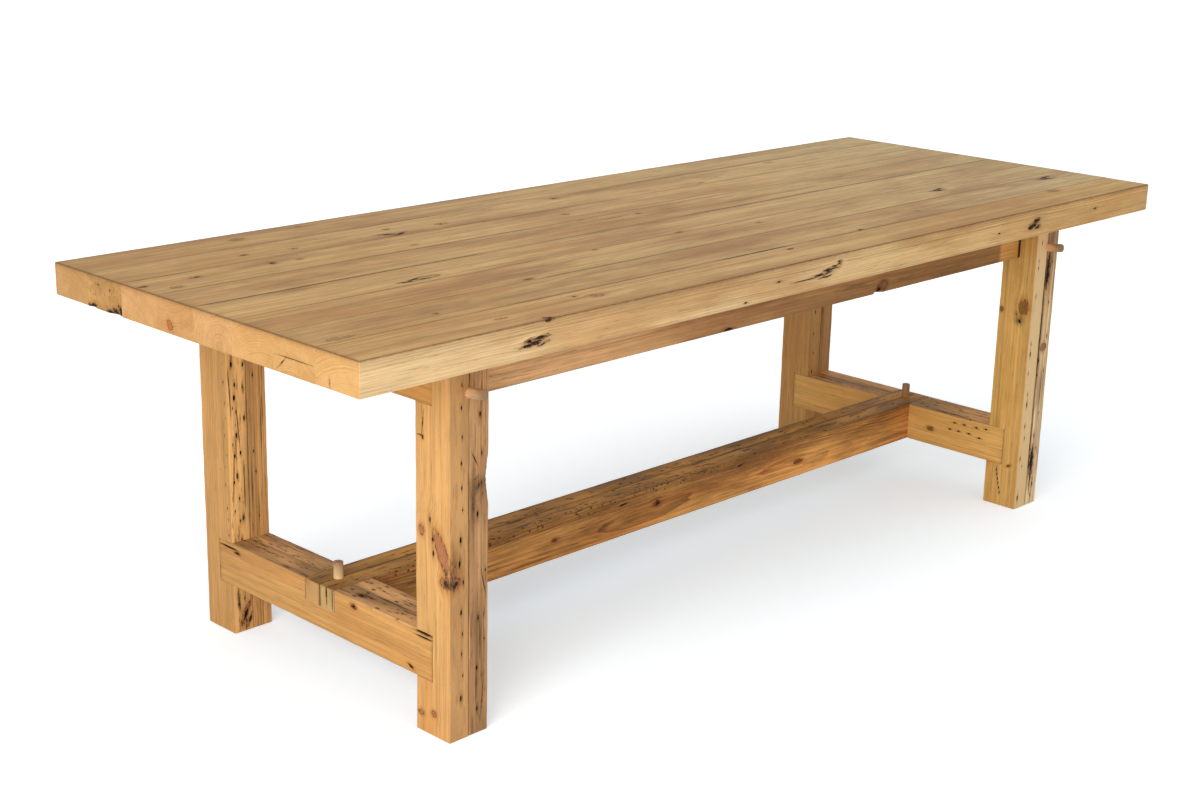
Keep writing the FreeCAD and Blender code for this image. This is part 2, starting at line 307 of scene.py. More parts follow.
def latticeLines(box, board, holes):
    # Lines where cuts and bores end, beside holes, along edges and across wanes; bores join the cuts.
    hard, soft = [[], [], []], [[], [], []]
    cuts = list(board.get("cuts", ()))
    for low, high in cuts:
        for axis in range(3):
            hard[axis] += [low[axis], high[axis]]
    for bore in board.get("bores", ()):
        low, high = np.array(bore["centre"]) - bore["radius"], np.array(bore["centre"]) + bore["radius"]
        low[bore["axis"]], high[bore["axis"]] = sorted(bore["reach"])
        cuts.append((low, high))
        hard[bore["axis"]] += list(bore["reach"])
        for axis in inPlane(bore["axis"]):
            hard[axis] += [bore["centre"][axis] + share * bore["radius"] for share in lattice["boreShares"]]
    for hole in holes:
        holeLines(soft, hole)
    rim = [share * board["ease"] for share in lattice["easeShares"]] + list(lattice["edgeLines"])
    for axis in range(3):
        soft[axis] += [box[0][axis] + d * mm for d in rim] + [box[1][axis] - d * mm for d in rim]
    for faceA, faceB, centre, half, radius in board.get("wanes", ()):
        soft[crossing(faceA, faceB)] += list((centre + lattice["waneAlong"] * half) * mm)
        for axis, sign, level in (facePlace(box, faceA), facePlace(box, faceB)):
            soft[axis] += list(level - sign * lattice["waneAcross"] * radius * mm)
    steps = board["steps"]
    return [axisLines(box[0][i], box[1][i], steps[i] * mm, hard[i], soft[i]) for i in range(3)], cuts


def timber(node, board):
    # One timber: lattice block, round bores, nail holes and checks, then its eased or waney edges.
    box = nodeBox(node)
    along = "xyz".index(board["grain"])
    holes = markHoles(board, along)
    rest, quads = latticeSkin(*latticeLines(box, board, holes))
    points = rest.copy()
    roundBores(points, board.get("bores", ()))
    dark = pressHoles(points, rest, box, holes)
    run = rest[:, along]
    dirt = seamDirt(rest, box, run, board)
    points = easeEdges(points, box, edgeRadius(rest, box, run, board) * (1 + wear["seamWear"] * dirt))
    values = {"nail": dark, "edge": edgeWear(rest, box, board), "dirt": dirt}
    piece = putMesh(camel(node), points, quads, values)
    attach(piece, board["body"])
    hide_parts(node)
    return piece


# Shader tools
woodNoise = dict(  # how close along and across the grain, detail, roughness
    drift=(1.3, 2.2, 2, 0.5), fray=(6, 60, 3, 0.6), zone=(2.4, 13, 2, 0.5), fibre=(9, 430, 3, 0.65),
    streak=(1.6, 62, 3, 0.55), hair=(3, 170, 2, 0.5), cloud=(2.2, 11, 3, 0.55), mottle=(15, 40, 4, 0.62),
    pores=(26, 520, 2, 0.7), smoke=(3.2, 19, 4, 0.62), crack=(6, 190, 3, 0.6), rim=(60, 150, 3, 0.65),
    fleck=(62, 380, 4, 0.62), grime=(70, 270, 3, 0.6), furrow=(4, 130, 4, 0.65), patch=(5, 22, 2, 0.5),
    dash=(18, 170, 3, 0.6),
)
markTone = dict(
    crack=(74, 48, 26), halo=(212, 180, 146), line=(70, 42, 22), bark=(27, 20, 14), stain=(84, 58, 34),
    hole=(28, 20, 13), dirt=(40, 26, 14), tack=(34, 23, 14), pit=(38, 25, 14),
)
tackCells, pitCells = (30, 52, 52), (92, 110, 110)
fromStart, toEnd = (-9001, -9000), (9000, 9001)  # past either end of any board


def srgb(tone):
    channels = [c / 255 for c in tone]
    return [c / 12.92 if c < 0.04045 else ((c + 0.055) / 1.055) ** 2.4 for c in channels] + [1.0]


def addNode(tree, kind, inputs=None, **settings):
    # A socket is linked to the input, anything else is set on it.
    item = tree.nodes.new("ShaderNode" + kind)
    for key, value in settings.items():
        setattr(item, key, value)
    for key, value in (inputs or {}).items():
        if isinstance(value, bpy.types.NodeSocket):
            tree.links.new(value, item.inputs[key])
        else:
            item.inputs[key].default_value = value
    return item


def calc(tree, operation, first, *others):
    # One operation carried through all the values.
    for other in others:
        first = addNode(tree, "Math", {0: first, 1: other}, operation=operation).outputs[0]
    return first


def held(tree, value):
    # Kept between nought and one.
    return addNode(tree, "Clamp", {"Value": value}).outputs[0]


def vector(tree, operation, a, b=(0, 0, 0)):
    item = addNode(tree, "VectorMath", {0: a, 1: b}, operation=operation)
    return item.outputs["Value" if operation == "LENGTH" else "Vector"]


def scaled(tree, a, factor):
    return addNode(tree, "VectorMath", {0: a, "Scale": factor}, operation="SCALE").outputs["Vector"]


def step(tree, value, low, high, toLow=0.0, toHigh=1.0):
    names = {"Value": value, "From Min": low, "From Max": high, "To Min": toLow, "To Max": toHigh}
    return addNode(tree, "MapRange", names, interpolation_type="SMOOTHSTEP").outputs["Result"]


def within(tree, value, start, stop, backStart, backStop):
    # Rises from start to stop and falls from backStart to backStop, in millimetres.
    rise, fall = step(tree, value, start * mm, stop * mm), step(tree, value, backStop * mm, backStart * mm)
    return calc(tree, "MULTIPLY", rise, fall)


def mixed(tree, factor, a, b, blend="MIX"):
    names = {"Factor": factor, 6: a, 7: b}
    return addNode(tree, "Mix", names, data_type="RGBA", blend_type=blend).outputs[2]


def noise(tree, coordinates, stretch, detail, roughness, seed=None, output="Fac"):
    # Noise whose cells are stretched: the coordinates are multiplied first.
    place = vector(tree, "MULTIPLY", coordinates, stretch)
    names = {"Vector": place, "Scale": 1.0, "Detail": detail, "Roughness": roughness}
    if seed is None:
        return addNode(tree, "TexNoise", names).outputs[output]
    return addNode(tree, "TexNoise", {**names, "W": seed}, noise_dimensions="4D").outputs[output]


def grained(tree, coordinates, label, seed=None, output="Fac"):
    along, across, detail, roughness = woodNoise[label]
    return noise(tree, coordinates, (along, across, across), detail, roughness, seed, output)


def around(tree, value, share):
    # Half taken off, then scaled: noise about zero.
    return calc(tree, "MULTIPLY", calc(tree, "SUBTRACT", value, 0.5), share)


def speckles(tree, coordinates, cells, size, share):
    # A round speck in some of the cells.
    place = vector(tree, "MULTIPLY", coordinates, cells)
    spots = addNode(tree, "TexVoronoi", {"Vector": place, "Scale": 1.0})
    chance = addNode(tree, "TexWhiteNoise", {"Vector": spots.outputs["Position"]}, noise_dimensions="3D")
    speck = step(tree, spots.outputs["Distance"], *size)
    return calc(tree, "MULTIPLY", speck, step(tree, chance.outputs["Value"], *share))


def part(tree, value, label):
    return addNode(tree, "SeparateXYZ", {0: value}).outputs[label]


def placeGroup(tree, group, inputs):
    return addNode(tree, "Group", inputs, node_tree=group).outputs


def toolsFor(tree):
    # The tools above, with the tree filled in.
    tools = dict(node=addNode, math=calc, held=held, vector=vector, scale=scaled, step=step, within=within,
                 mix=mixed, noise=noise, wood=grained, around=around, speckles=speckles, part=part,
                 group=placeGroup)
    sums = dict(plus="ADD", less="SUBTRACT", times="MULTIPLY", most="MAXIMUM")
    return SimpleNamespace(tree=tree, **{label: partial(tool, tree) for label, tool in tools.items()},
                           **{label: partial(calc, tree, operation) for label, operation in sums.items()})


def newGroup(name, inputs, outputs):
    # Sockets are listed by kind.
    group = bpy.data.node_groups.new(name, "ShaderNodeTree")
    for way, sockets in (("INPUT", inputs), ("OUTPUT", outputs)):
        for kind, labels in sockets.items():
            for label in labels.split():
                group.interface.new_socket(label, in_out=way, socket_type="NodeSocket" + kind)
    return group, toolsFor(group), group.nodes.new("NodeGroupInput").outputs


def putOut(group, **results):
    leave = group.nodes.new("NodeGroupOutput").inputs
    for label, value in results.items():
        group.links.new(value, leave[label])
    return group


def emptyTree(owner):
    owner.use_nodes = True
    owner.node_tree.nodes.clear()
    return toolsFor(owner.node_tree)


def newMaterial(name):
    material = bpy.data.materials.new(name)
    return material, emptyTree(material)


def showShader(n, shader, kind="OutputMaterial"):
    n.tree.links.new(shader.outputs[0], n.node(kind).inputs[0])


def makeGrainGroup():
    # Growth rings are shells about the pith, which wanders along the board; each ring goes slowly from
    # pale to deep and back at once, more plainly in some zones than in others. Fibres, pores, hairs and
    # streaks are noise drawn out lengthwise; blush, mottle and smoke are broader stains; cracks are its
    # thin dark crests.
    group, n, entry = newGroup(
        "pineGrain",
        dict(Vector="Vector Pith", Color="Pale Deep Blush SmokeTone",
             Float="RingWidth Wander Seed Contrast Streaks Mottle Smoke Fibre Cracks"),
        dict(Color="Color", Float="Height Late"))
    place, seed = entry["Vector"], entry["Seed"]
    frayReach, swellScale, swellReach, poreShade = 0.0045, 45.0, 0.012, 0.32
    bent = place
    for label, reach in (("drift", entry["Wander"]), ("fray", frayReach)):
        sway = n.vector("SUBTRACT", n.wood(place, label, seed, "Color"), (0.5, 0.5, 0.5))
        bent = n.vector("ADD", bent, n.scale(sway, reach))
    ray = n.vector("SUBTRACT", bent, entry["Pith"])
    reach = n.vector("LENGTH", n.vector("MULTIPLY", ray, (0, 1, 1)))
    swell = n.node("TexNoise", {"W": reach, "Scale": swellScale, "Detail": 1.0}, noise_dimensions="1D")
    reach = n.plus(reach, n.times(swell.outputs["Fac"], swellReach))
    phase = n.math("DIVIDE", reach, entry["RingWidth"])
    saw, ring = n.math("FRACT", phase, 0.0), n.math("FLOOR", phase, 0.0)
    ringShade = n.node("TexWhiteNoise", {"W": ring}, noise_dimensions="1D").outputs["Value"]
    late = n.times(n.step(saw, 0.15, 0.9), n.step(saw, 1.0, 0.9), n.step(ringShade, 0.0, 1.0, 0.25, 1.0),
                   n.step(n.wood(place, "zone", seed), 0.36, 0.62, 0.35, 1.0))
    pores = n.step(n.wood(place, "pores", seed), 0.58, 0.72)
    smoke = n.step(n.wood(place, "smoke", seed), 0.46, 0.76)
    fibre = n.wood(place, "fibre", seed)
    tone = n.mix(n.times(late, entry["Contrast"]), entry["Pale"], entry["Deep"])
    tone = n.mix(n.step(n.wood(place, "cloud", seed), 0.42, 0.68, 0.0, 0.8), tone, entry["Blush"])
    tone = n.mix(n.times(smoke, entry["Smoke"]), tone, entry["SmokeTone"])
    light = n.plus(1.0, n.around(n.wood(place, "streak", seed), entry["Streaks"]),
                   n.around(n.wood(place, "hair", seed), entry["Streaks"]), n.around(fibre, entry["Fibre"]),
                   n.around(n.wood(place, "mottle", seed), entry["Mottle"]))
    light = n.less(light, n.times(pores, poreShade))
    crack = n.times(n.step(n.wood(ray, "crack", seed), 0.61, 0.68), entry["Cracks"])
    height = n.less(n.plus(n.times(late, 0.5), n.times(fibre, 0.7)), n.times(pores, 0.5))
    colour = n.mix(crack, n.scale(tone, light), srgb(markTone["crack"]))
    return putOut(group, Color=colour, Height=height, Late=late)


def makeKnotGroup():
    # A knot is a ball stretched to its reach, with a ragged rim; around it the grain is pushed aside.
    # Bark is black flecks, dense at the heart and scattered towards the rim.
    group, n, entry = newGroup(
        "pineKnot", dict(Vector="Vector Centre Reach Turn", Float="Ragged Black Knot Line Halo Bark"),
        dict(Vector="Vector", Float="Knot Line Halo Bark"))
    place, pushFall, pushShare = entry["Vector"], 0.72, 0.85
    offset = n.vector("SUBTRACT", place, entry["Centre"])
    turned = n.node("VectorRotate", {"Vector": offset, "Rotation": entry["Turn"]}, rotation_type="EULER_XYZ")
    ball = n.vector("DIVIDE", turned.outputs[0], entry["Reach"])
    reach = n.plus(n.vector("LENGTH", ball), n.around(n.wood(place, "rim"), entry["Ragged"]))
    push = n.times(n.math("POWER", pushFall, n.times(reach, reach)), pushShare)
    aside = n.scale(n.vector("MULTIPLY", offset, (0, 1, 1)), push)
    heart = n.less(n.times(entry["Black"], 1.25), n.plus(reach, 0.25))
    dark = n.plus(n.times(n.wood(place, "fleck"), 0.95), n.times(heart, 0.36))
    line = n.times(n.step(reach, 0.7, 0.98), n.step(reach, 1.3, 1.0))
    masks = dict(Knot=n.step(reach, 1.0, 0.74), Line=line, Halo=n.step(reach, 2.5, 0.7),
                 Bark=n.step(dark, 0.5, 0.57))
    return putOut(group, Vector=n.vector("SUBTRACT", place, aside),
                  **{label: n.most(entry[label], mask) for label, mask in masks.items()})


def makeScarGroup():
    # What a first life left on the timber: knots, nail holes with iron stain, dirty seams, rubbed edges.
    group, n, entry = newGroup(
        "timberScars",
        dict(Color="Color Heart EdgeTone", Vector="Vector",
             Float="Knot Line Halo Bark Fill Nail Dirt Edge EdgeShare"),
        dict(Color="Color", Float="Height Dull"))
    holeDepth, knotRise, raggedShare = -1.2, 0.35, 1.1
    grime = n.wood(entry["Vector"], "grime")
    tone = n.mix(entry["Halo"], entry["Color"], srgb(markTone["halo"]), "MULTIPLY")
    heart = n.scale(entry["Heart"], n.step(grime, 0.25, 0.75, 0.62, 1.25))
    tone = n.mix(n.times(entry["Knot"], entry["Fill"]), tone, heart)
    tone = n.mix(n.times(entry["Line"], n.step(grime, 0.4, 0.58, 0.0, 0.9)), tone, srgb(markTone["line"]))
    tone = n.mix(entry["Bark"], tone, srgb(markTone["bark"]))
    ragged = n.plus(entry["Nail"], n.around(grime, n.times(entry["Nail"], raggedShare)))
    tone = n.mix(n.step(ragged, 0.06, 0.5, 0.0, 0.6), tone, srgb(markTone["stain"]))
    hole = n.step(ragged, 0.42, 0.62)
    tone = n.mix(hole, tone, srgb(markTone["hole"]))
    rub = n.times(entry["Edge"], entry["EdgeShare"], n.step(grime, 0.35, 0.65, 0.72, 1.0))
    tone = n.mix(rub, tone, entry["EdgeTone"])
    dirt = n.held(n.times(entry["Dirt"], n.step(grime, 0.3, 0.6, 0.75, 1.2)))
    tone = n.mix(dirt, tone, srgb(markTone["dirt"]))
    sunk = n.times(n.plus(entry["Bark"], hole), holeDepth)
    return putOut(group, Color=tone, Height=n.plus(sunk, n.times(entry["Knot"], knotRise)),
                  Dull=n.most(hole, entry["Bark"]))


def makeWeatherGroup():
    # A face that was once outdoors: brown-grey, furrowed along the grain, with tack holes and short cracks.
    group, n, entry = newGroup(
        "weatheredFace", dict(Color="Color Tone", Vector="Vector", Float="Mask Seed Tacks Cover"),
        dict(Color="Color", Float="Height"))
    place, seed, darkShare = entry["Vector"], entry["Seed"], 0.85
    furrow = n.wood(place, "furrow", seed)
    tack = n.times(n.speckles(place, tackCells, (0.24, 0.1), (0.4, 0.45)), entry["Tacks"])
    crack = n.step(n.wood(place, "dash", seed), 0.56, 0.63)
    tack = n.most(tack, n.times(crack, darkShare))
    covered = n.mix(entry["Cover"], entry["Color"], entry["Tone"])
    tone = n.mix(n.step(furrow, 0.35, 0.62), entry["Tone"], covered)
    tone = n.scale(tone, n.step(n.wood(place, "patch", seed), 0.32, 0.68, 0.52, 1.24))
    tone = n.mix(n.times(tack, darkShare), tone, srgb(markTone["tack"]))
    return putOut(group, Color=n.mix(entry["Mask"], entry["Color"], tone),
                  Height=n.times(n.less(furrow, tack), entry["Mask"]))


grainGroup, knotGroup, scarGroup, weatherGroup = (
    makeGrainGroup(), makeKnotGroup(), makeScarGroup(), makeWeatherGroup())
grainTurn = {"x": (0, 0, 0), "y": (0, 0, -90), "z": (0, 90, 0)}
pineDefaults = dict(knotDepth=14, fibre=0.8, cracks=0.0, endRing=0.8, endShare=0.6, cover=0.55, halo=0.6,
                    knotFill=0.8, bump=0.35)
seedStep = dict(grain=1.7, worn=3.1, weather=2.3)
knotRagged = (0.4, 0.8)  # a plain knot's, and what a black one has more
pineShine = dict(specular=0.12, lateGloss=0.08, dull=0.3, bumpDistance=0.0008)
wornTacks, pitShade = 0.35, 0.85
# The upper face's patina carries a painted sheen as well.
patinaAndSheenRise, weatherRise = (-1.6, -0.4), (-3.5, -1.2)  # where the upper face's own finish starts, from the top


def toGrain(point, grain):
    # A place or size turned so that the board's length is x.
    x, y, z = point
    return np.array({"x": (x, y, z), "y": (y, -x, z), "z": (z, y, -x)}[grain])


def knotChain(n, place, box, board, depth):
    # Each knot bends the place that the next one is given, and adds to the same masks.
    masks = ("Knot", "Line", "Halo", "Bark")
    grain, middle = board["grain"], (box[0] + box[1]) / 2
    knots = {"Vector": place, **dict.fromkeys(masks, 0.0)}
    for face, a, b, halfA, halfB, black, *angle in placed(board, "knots"):
        axis, _, level = facePlace(box, face)
        centre = np.insert(np.array([a, b]) * mm, axis, level)
        reach = np.insert(np.array([halfA, halfB]) * mm, axis, depth * mm)
        spin = np.insert(np.zeros(2), axis, math.radians(sum(angle)))
        knots = n.group(knotGroup, {
            **{label: knots[label] for label in ("Vector", *masks)},
            "Ragged": knotRagged[0] + knotRagged[1] * black, "Black": black,
            "Centre": [float(c) for c in toGrain(centre - middle, grain)],
            "Reach": [float(abs(c)) for c in toGrain(reach, grain)],
            "Turn": [float(c) for c in toGrain(spin, grain)],
        })
    return knots


def pine(name, box, board):
    # Rings and fibres first, then knots, end grain, worn faces, the upper face, tack holes and scars.
    look, grain, seed = {**pineDefaults, **board["look"]}, board["grain"], board["seed"]
    material, n = newMaterial(name)
    coordinates = n.node("TexCoord").outputs
    turn = [math.radians(angle) for angle in grainTurn[grain]]
    shift = [float(c) for c in -toGrain((box[0] + box[1]) / 2, grain)]
    mapped = {"Vector": coordinates["Object"], "Location": shift, "Rotation": turn}
    place = n.node("Mapping", mapped).outputs[0]
    along, upper = n.part(place, "X"), n.part(place, "Z")
    top = float((box[1] - box[0])[2] / 2)
    knots = knotChain(n, place, box, board, look["knotDepth"])
    wood = n.group(grainGroup, {
        "Vector": knots["Vector"], "Seed": seed * seedStep["grain"],
        "Pith": [0, look["pith"][0] * mm, look["pith"][1] * mm],
        "RingWidth": look["ring"] * mm, "Wander": look["wander"] * mm, "SmokeTone": srgb(look["smokeTone"]),
        **{label.capitalize(): look[label] for label in
           ("contrast", "streaks", "mottle", "smoke", "fibre", "cracks")},
        **{label.capitalize(): srgb(look[label]) for label in ("pale", "deep", "blush")},
    })
    colour, height = wood["Color"], wood["Height"]
    for *stretch, tint in look.get("tones", ()):
        colour = n.mix(n.within(along, *stretch), colour, srgb(tint), "MULTIPLY")
    facing = n.node("Mapping", {"Vector": coordinates["Normal"], "Rotation": turn}, vector_type="VECTOR")
    endMask = n.step(n.math("ABSOLUTE", n.part(facing.outputs[0], "X"), 0.0), 0.55, 0.85)
    rings = n.scale(srgb(look["end"])[:3], n.step(wood["Late"], 0.0, 0.9, 1.05, look["endRing"]))
    colour = n.mix(endMask, colour, n.mix(look["endShare"], colour, rings))
    masks = {}
    for label in ("faceTone", "wornFace"):
        if label in look:
            face, _, share = look[label]
            side = n.times(n.part(coordinates["Normal"], face[1]), float(faceAxis[face][1]))
            masks[label] = n.times(n.step(side, 0.6, 0.9), share)
    if "faceTone" in look:
        colour = n.mix(masks["faceTone"], colour, srgb(look["faceTone"][1]))
    finishes = []
    if "wornFace" in look:
        cover = pineDefaults["cover"]
        finishes.append((masks["wornFace"], look["wornFace"][1], wornTacks, cover, seed * seedStep["worn"]))
    if "weather" in look:
        mask = n.step(upper, *[top + rise * mm for rise in weatherRise])
        finishes.append((mask, look["weather"], 1.0, look["cover"], seed * seedStep["weather"]))
    for mask, tint, tacks, cover, wornSeed in finishes:
        worn = n.group(weatherGroup, {"Color": colour, "Vector": place, "Mask": mask, "Tone": srgb(tint),
                                      "Tacks": tacks, "Cover": cover, "Seed": wornSeed})
        colour, height = worn["Color"], n.plus(height, worn["Height"])
    # The upper face's patina, and along its length tints that leave the right end paler: painted sheen.
    if "patina" in look:
        mask = n.step(upper, *[top + rise * mm for rise in patinaAndSheenRise])
        for *stretch, tint in look["patina"]:
            share = n.times(mask, n.within(along, *fromStart, *stretch))
            colour = n.mix(share, colour, srgb(tint), "MULTIPLY")
    marks = {label: n.node("Attribute", attribute_name=label).outputs["Fac"]
             for label in ("nail", "edge", "dirt")}
    if "pits" in look:
        # Close rows of tack holes along the worn edge, between two places on its length.
        pit = n.times(n.speckles(place, pitCells, (0.4, 0.2), (0.35, 0.4)), n.within(along, *look["pits"]),
                      n.step(marks["edge"], 0.28, 0.4))
        colour = n.mix(n.times(pit, pitShade), colour, srgb(markTone["pit"]))
        height = n.less(height, pit)
    scars = n.group(scarGroup, {
        "Color": colour, "Vector": place, **{label: knots[label] for label in ("Knot", "Line", "Bark")},
        "Halo": n.times(knots["Halo"], look["halo"]), "Heart": srgb(look["heart"]), "Fill": look["knotFill"],
        **{label.capitalize(): mark for label, mark in marks.items()},
        "EdgeTone": srgb(look["edgeTone"]), "EdgeShare": look["edgeShare"],
    })
    bump = n.node("Bump", {"Height": n.plus(height, scars["Height"]), "Strength": look["bump"],
                           "Distance": pineShine["bumpDistance"]})
    gloss = n.step(wood["Late"], 0.0, 1.0, look["gloss"], look["gloss"] - pineShine["lateGloss"])
    rough = n.held(n.plus(gloss, n.times(scars["Dull"], pineShine["dull"])))
    showShader(n, n.node("BsdfPrincipled", {
        "Base Color": scars["Color"], "Roughness": rough, "Normal": bump.outputs["Normal"],
        "Specular IOR Level": pineShine["specular"]}))
    return material


def dress(node, board):
    timber(node, board).data.materials.append(pine(camel(node) + "Pine", nodeBox(node), board))


nailScatter = dict(along=9, across=4, size=(0.7, 1.3))
nailSeed = dict(apron=60, stretcher=70)


def rowNails(fixed, start, stop, count, size, seed, fixedFirst=True):
    # A row of nail holes along a board, unevenly spaced.
    draw = np.random.default_rng(seed)
    along, across = nailScatter["along"], nailScatter["across"]
    runs = np.linspace(start, stop, count) + draw.uniform(-along, along, count)
    drift = fixed + draw.uniform(-across, across, count)
    grow = size * draw.uniform(*nailScatter["size"], count)
    return [(f, r, s) if fixedFirst else (r, f, s) for f, r, s in zip(drift, runs, grow)]


# Marks are listed by face, each with its two places on that face:
# knots (half sizes, how black, turn), nails (size), checks (half sizes, turn),
# smears (half sizes, shade, turn).
# Wanes are (two faces, place along their edge, half length, radius); tones are (four places, tint).

# Table top: eight planks. A seam lists (start, stop, dirt) between a plank and the next.
topWood = dict(
    pale=(235, 201, 149), deep=(186, 142, 88), blush=(202, 156, 102), end=(199, 145, 80), endShare=0.75,
    ring=4.2, wander=26, contrast=0.85, streaks=0.6, mottle=0.42, smoke=0.85, smokeTone=(172, 128, 84),
    heart=(124, 88, 52), cracks=0.2, knotFill=0.4, halo=0.3, edgeTone=(96, 58, 27), edgeShare=1.0, gloss=0.56,
    bump=0.22, fibre=0.7,
    # The first tint is the upper face's patina; the two that fade out towards the right end darken and warm
    # the left of the upper face, so that the right end stays paler and greyer: painted sheen.
    patina=[(*toEnd, (215, 216, 204)), (200, 1150, (249, 238, 228)), (-900, -100, (254, 248, 237))],
)
planks = {
    1: dict(
        pith=(-45, -140), shade=1.03,
        own=dict(tones=[(-500, 900, *toEnd, (258, 250, 228))], faceTone=("-Y", (150, 110, 70), 0.05),
                 cracks=0.04, contrast=1.2, ring=5.2, wander=12, streaks=0.4, smoke=0.45, mottle=0.3),
        knots=[
            ("+Z", [(-45, -360, 11, 5, 0.8), (-855, -397, 12, 5, 0.45), (-652, -364, 7, 4, 0.7),
                    (-615, -385, 14, 9, 0.3), (937, -350, 16, 9, 0.45)]),
            ("-Y", [(-842, 729, 21, 3, 0.8, 3), (-814, 739, 22, 4, 0.85, 5), (-824, 734, 16, 5, 0.8, 3),
                    (-806, 730, 14, 3, 0.7, 6), (-840, 736, 12, 3, 0.7, 2), (-62, 734, 24, 3, 0.85, 3),
                    (-36, 738, 20, 5, 0.8, 5), (-44, 730, 20, 3, 0.75, 2), (-18, 742, 16, 4, 0.75, 6),
                    (0, 747, 7, 6, 0.75), (694, 731, 16, 6, 0.9, 15), (710, 738, 14, 6, 0.9, 20),
                    (718, 729, 10, 5, 0.8), (-792, 767, 10, 4, 0.95)])],
        nails=[("-Y", [(-186, 739, 2.6), (-282, 713, 2.4), (564, 732, 2.2), (960, 739, 2.8)])],
        checks=[("-Y", [(-100, 730, 44, 0.8), (-15, 741, 16, 0.8)]), ("-X", [(-375, 717, 0.7, 10)])],
        smears=[("-Y", [(-826, 734, 36, 9, 0.9, 5), (-34, 736, 44, 9, 0.8, 5), (704, 733, 26, 14, 1.0, 12),
                        (-110, 730, 44, 3, 0.9)])],
        seam=[(-240, 0, 1.0), (0, 450, 0.25), (-900, -300, 0.15)]),
    2: dict(
        pith=(10, -95), shade=0.98, own=dict(end=(194, 139, 72)),
        knots=[("+Z", [(1060, -250, 30, 6, 0.95, 10), (1076, -240, 22, 6, 0.9, -12), (-915, -300, 7, 4, 0.65),
                       (-1140, -322, 30, 7, 0.4), (217, -334, 9, 4, 0.85), (480, -290, 8, 5, 0.4)])],
        checks=[("-X", [(-282, 735, 54, 0.5), (-250, 724, 17, 0.5, -42)])],
        smears=[("+Z", [(-700, -335, 180, 5, 0.6)])], seam=[(-615, 600, 0.5), (-1200, -800, 0.15)]),
    3: dict(
        pith=(-35, -110), shade=1.0,
        knots=[("+Z", [(722, -175, 26, 5, 0.95, 12), (738, -166, 18, 6, 0.85, -10), (-622, -217, 11, 6, 0.7),
                       (-352, -116, 9, 5, 0.7), (110, -150, 8, 5, 0.4)])],
        seam=[(-1155, -705, 0.35), (-560, -490, 0.4), (-120, -60, 0.4)]),
    4: dict(
        pith=(-22, -27), shade=1.0, own=dict(end=(195, 140, 80)),
        knots=[("+Z", [(-806, -92, 20, 4, 0.95, 12), (-784, -84, 15, 4, 0.9, -14),
                       (-768, -92, 16, 3, 0.85, 6), (-750, -84, 26, 8, 0.2), (-97, -108, 12, 4, 0.6)])],
        smears=[("+Z", [(-795, -87, 30, 10, 0.7)])],
        seam=[(-1200, -525, 0.85), (-375, -150, 0.35), (30, 1200, 0.8)]),
    5: dict(
        pith=(25, 110), shade=0.99, own=dict(end=(191, 135, 74), heart=(196, 104, 36), knotFill=0.8),
        knots=[("+Z", [(-20, 80, 9, 5, 0.7), (-165, 109, 8, 4, 0.55)]), ("-X", [(72, 722, 7, 9, 0.3, 35)])],
        checks=[("+Z", [(-90, 82, 35, 0.9)])], seam=[(-1200, -300, 0.4), (-100, 300, 0.2)]),
    6: dict(
        pith=(60, -85), shade=1.01, own=dict(end=(196, 140, 80)),
        knots=[("+Z", [(-1072, 180, 12, 6, 0.7), (-1185, 177, 10, 5, 0.9), (-1140, 138, 14, 7, 0.45),
                       (-900, 187, 9, 8, 0.75), (-840, 183, 8, 6, 0.5), (-150, 172, 9, 6, 0.5),
                       (-592, 142, 8, 5, 0.55)])],
        seam=[(-1200, -1050, 0.6), (-390, 90, 0.45), (500, 650, 0.25)]),
    7: dict(
        pith=(-15, 120), shade=1.01,
        own=dict(end=(196, 145, 76), cracks=0.35, wornFace=("-X", (176, 126, 68), 0.5)),
        knots=[
            ("+Z", [(-574, 252, 18, 5, 0.95, 18), (-546, 243, 18, 5, 0.9, -15), (-560, 240, 14, 3, 0.85, 5),
                    (-540, 292, 8, 5, 0.75), (-900, 277, 10, 6, 0.7), (-420, 262, 14, 8, 0.45),
                    (-45, 315, 13, 7, 0.55), (-795, 262, 8, 5, 0.6), (360, 240, 10, 4, 0.65),
                    (705, 322, 12, 7, 0.45)]),
            ("-X", [(320, 707, 12, 8, 1.0), (333, 706, 7, 5, 0.95), (262, 707, 12, 6, 1.0),
                    (246, 709, 11, 8, 1.0), (233, 713, 8, 12, 0.95), (300, 752, 3, 2, 0.9),
                    (262, 748, 3, 3, 0.8), (222, 722, 4, 9, 0.75)])],
        wanes=[("-X", "-Z", 321, 13, 6), ("-X", "-Z", 243, 22, 9)],
        smears=[("+Z", [(-562, 247, 26, 12, 0.7)])],
        seam=[(-930, -675, 0.35), (-675, -360, 0.55), (150, 420, 0.65), (420, 900, 0.25)]),
    8: dict(
        pith=(40, -120), shade=0.985, own=dict(end=(187, 135, 76)),
        knots=[("+Z", [(-660, 425, 7, 4, 0.55), (-830, 400, 16, 9, 0.3)])]),
}
topShape = dict(steps=(40, 16, 16), ease=0.8, edgeReach=1.6, edgeShare=0.12)
topEdges = dict(outerEase=2.0, rubbed=(1.0, 3.4), seamRub=(0.6, 1.6))

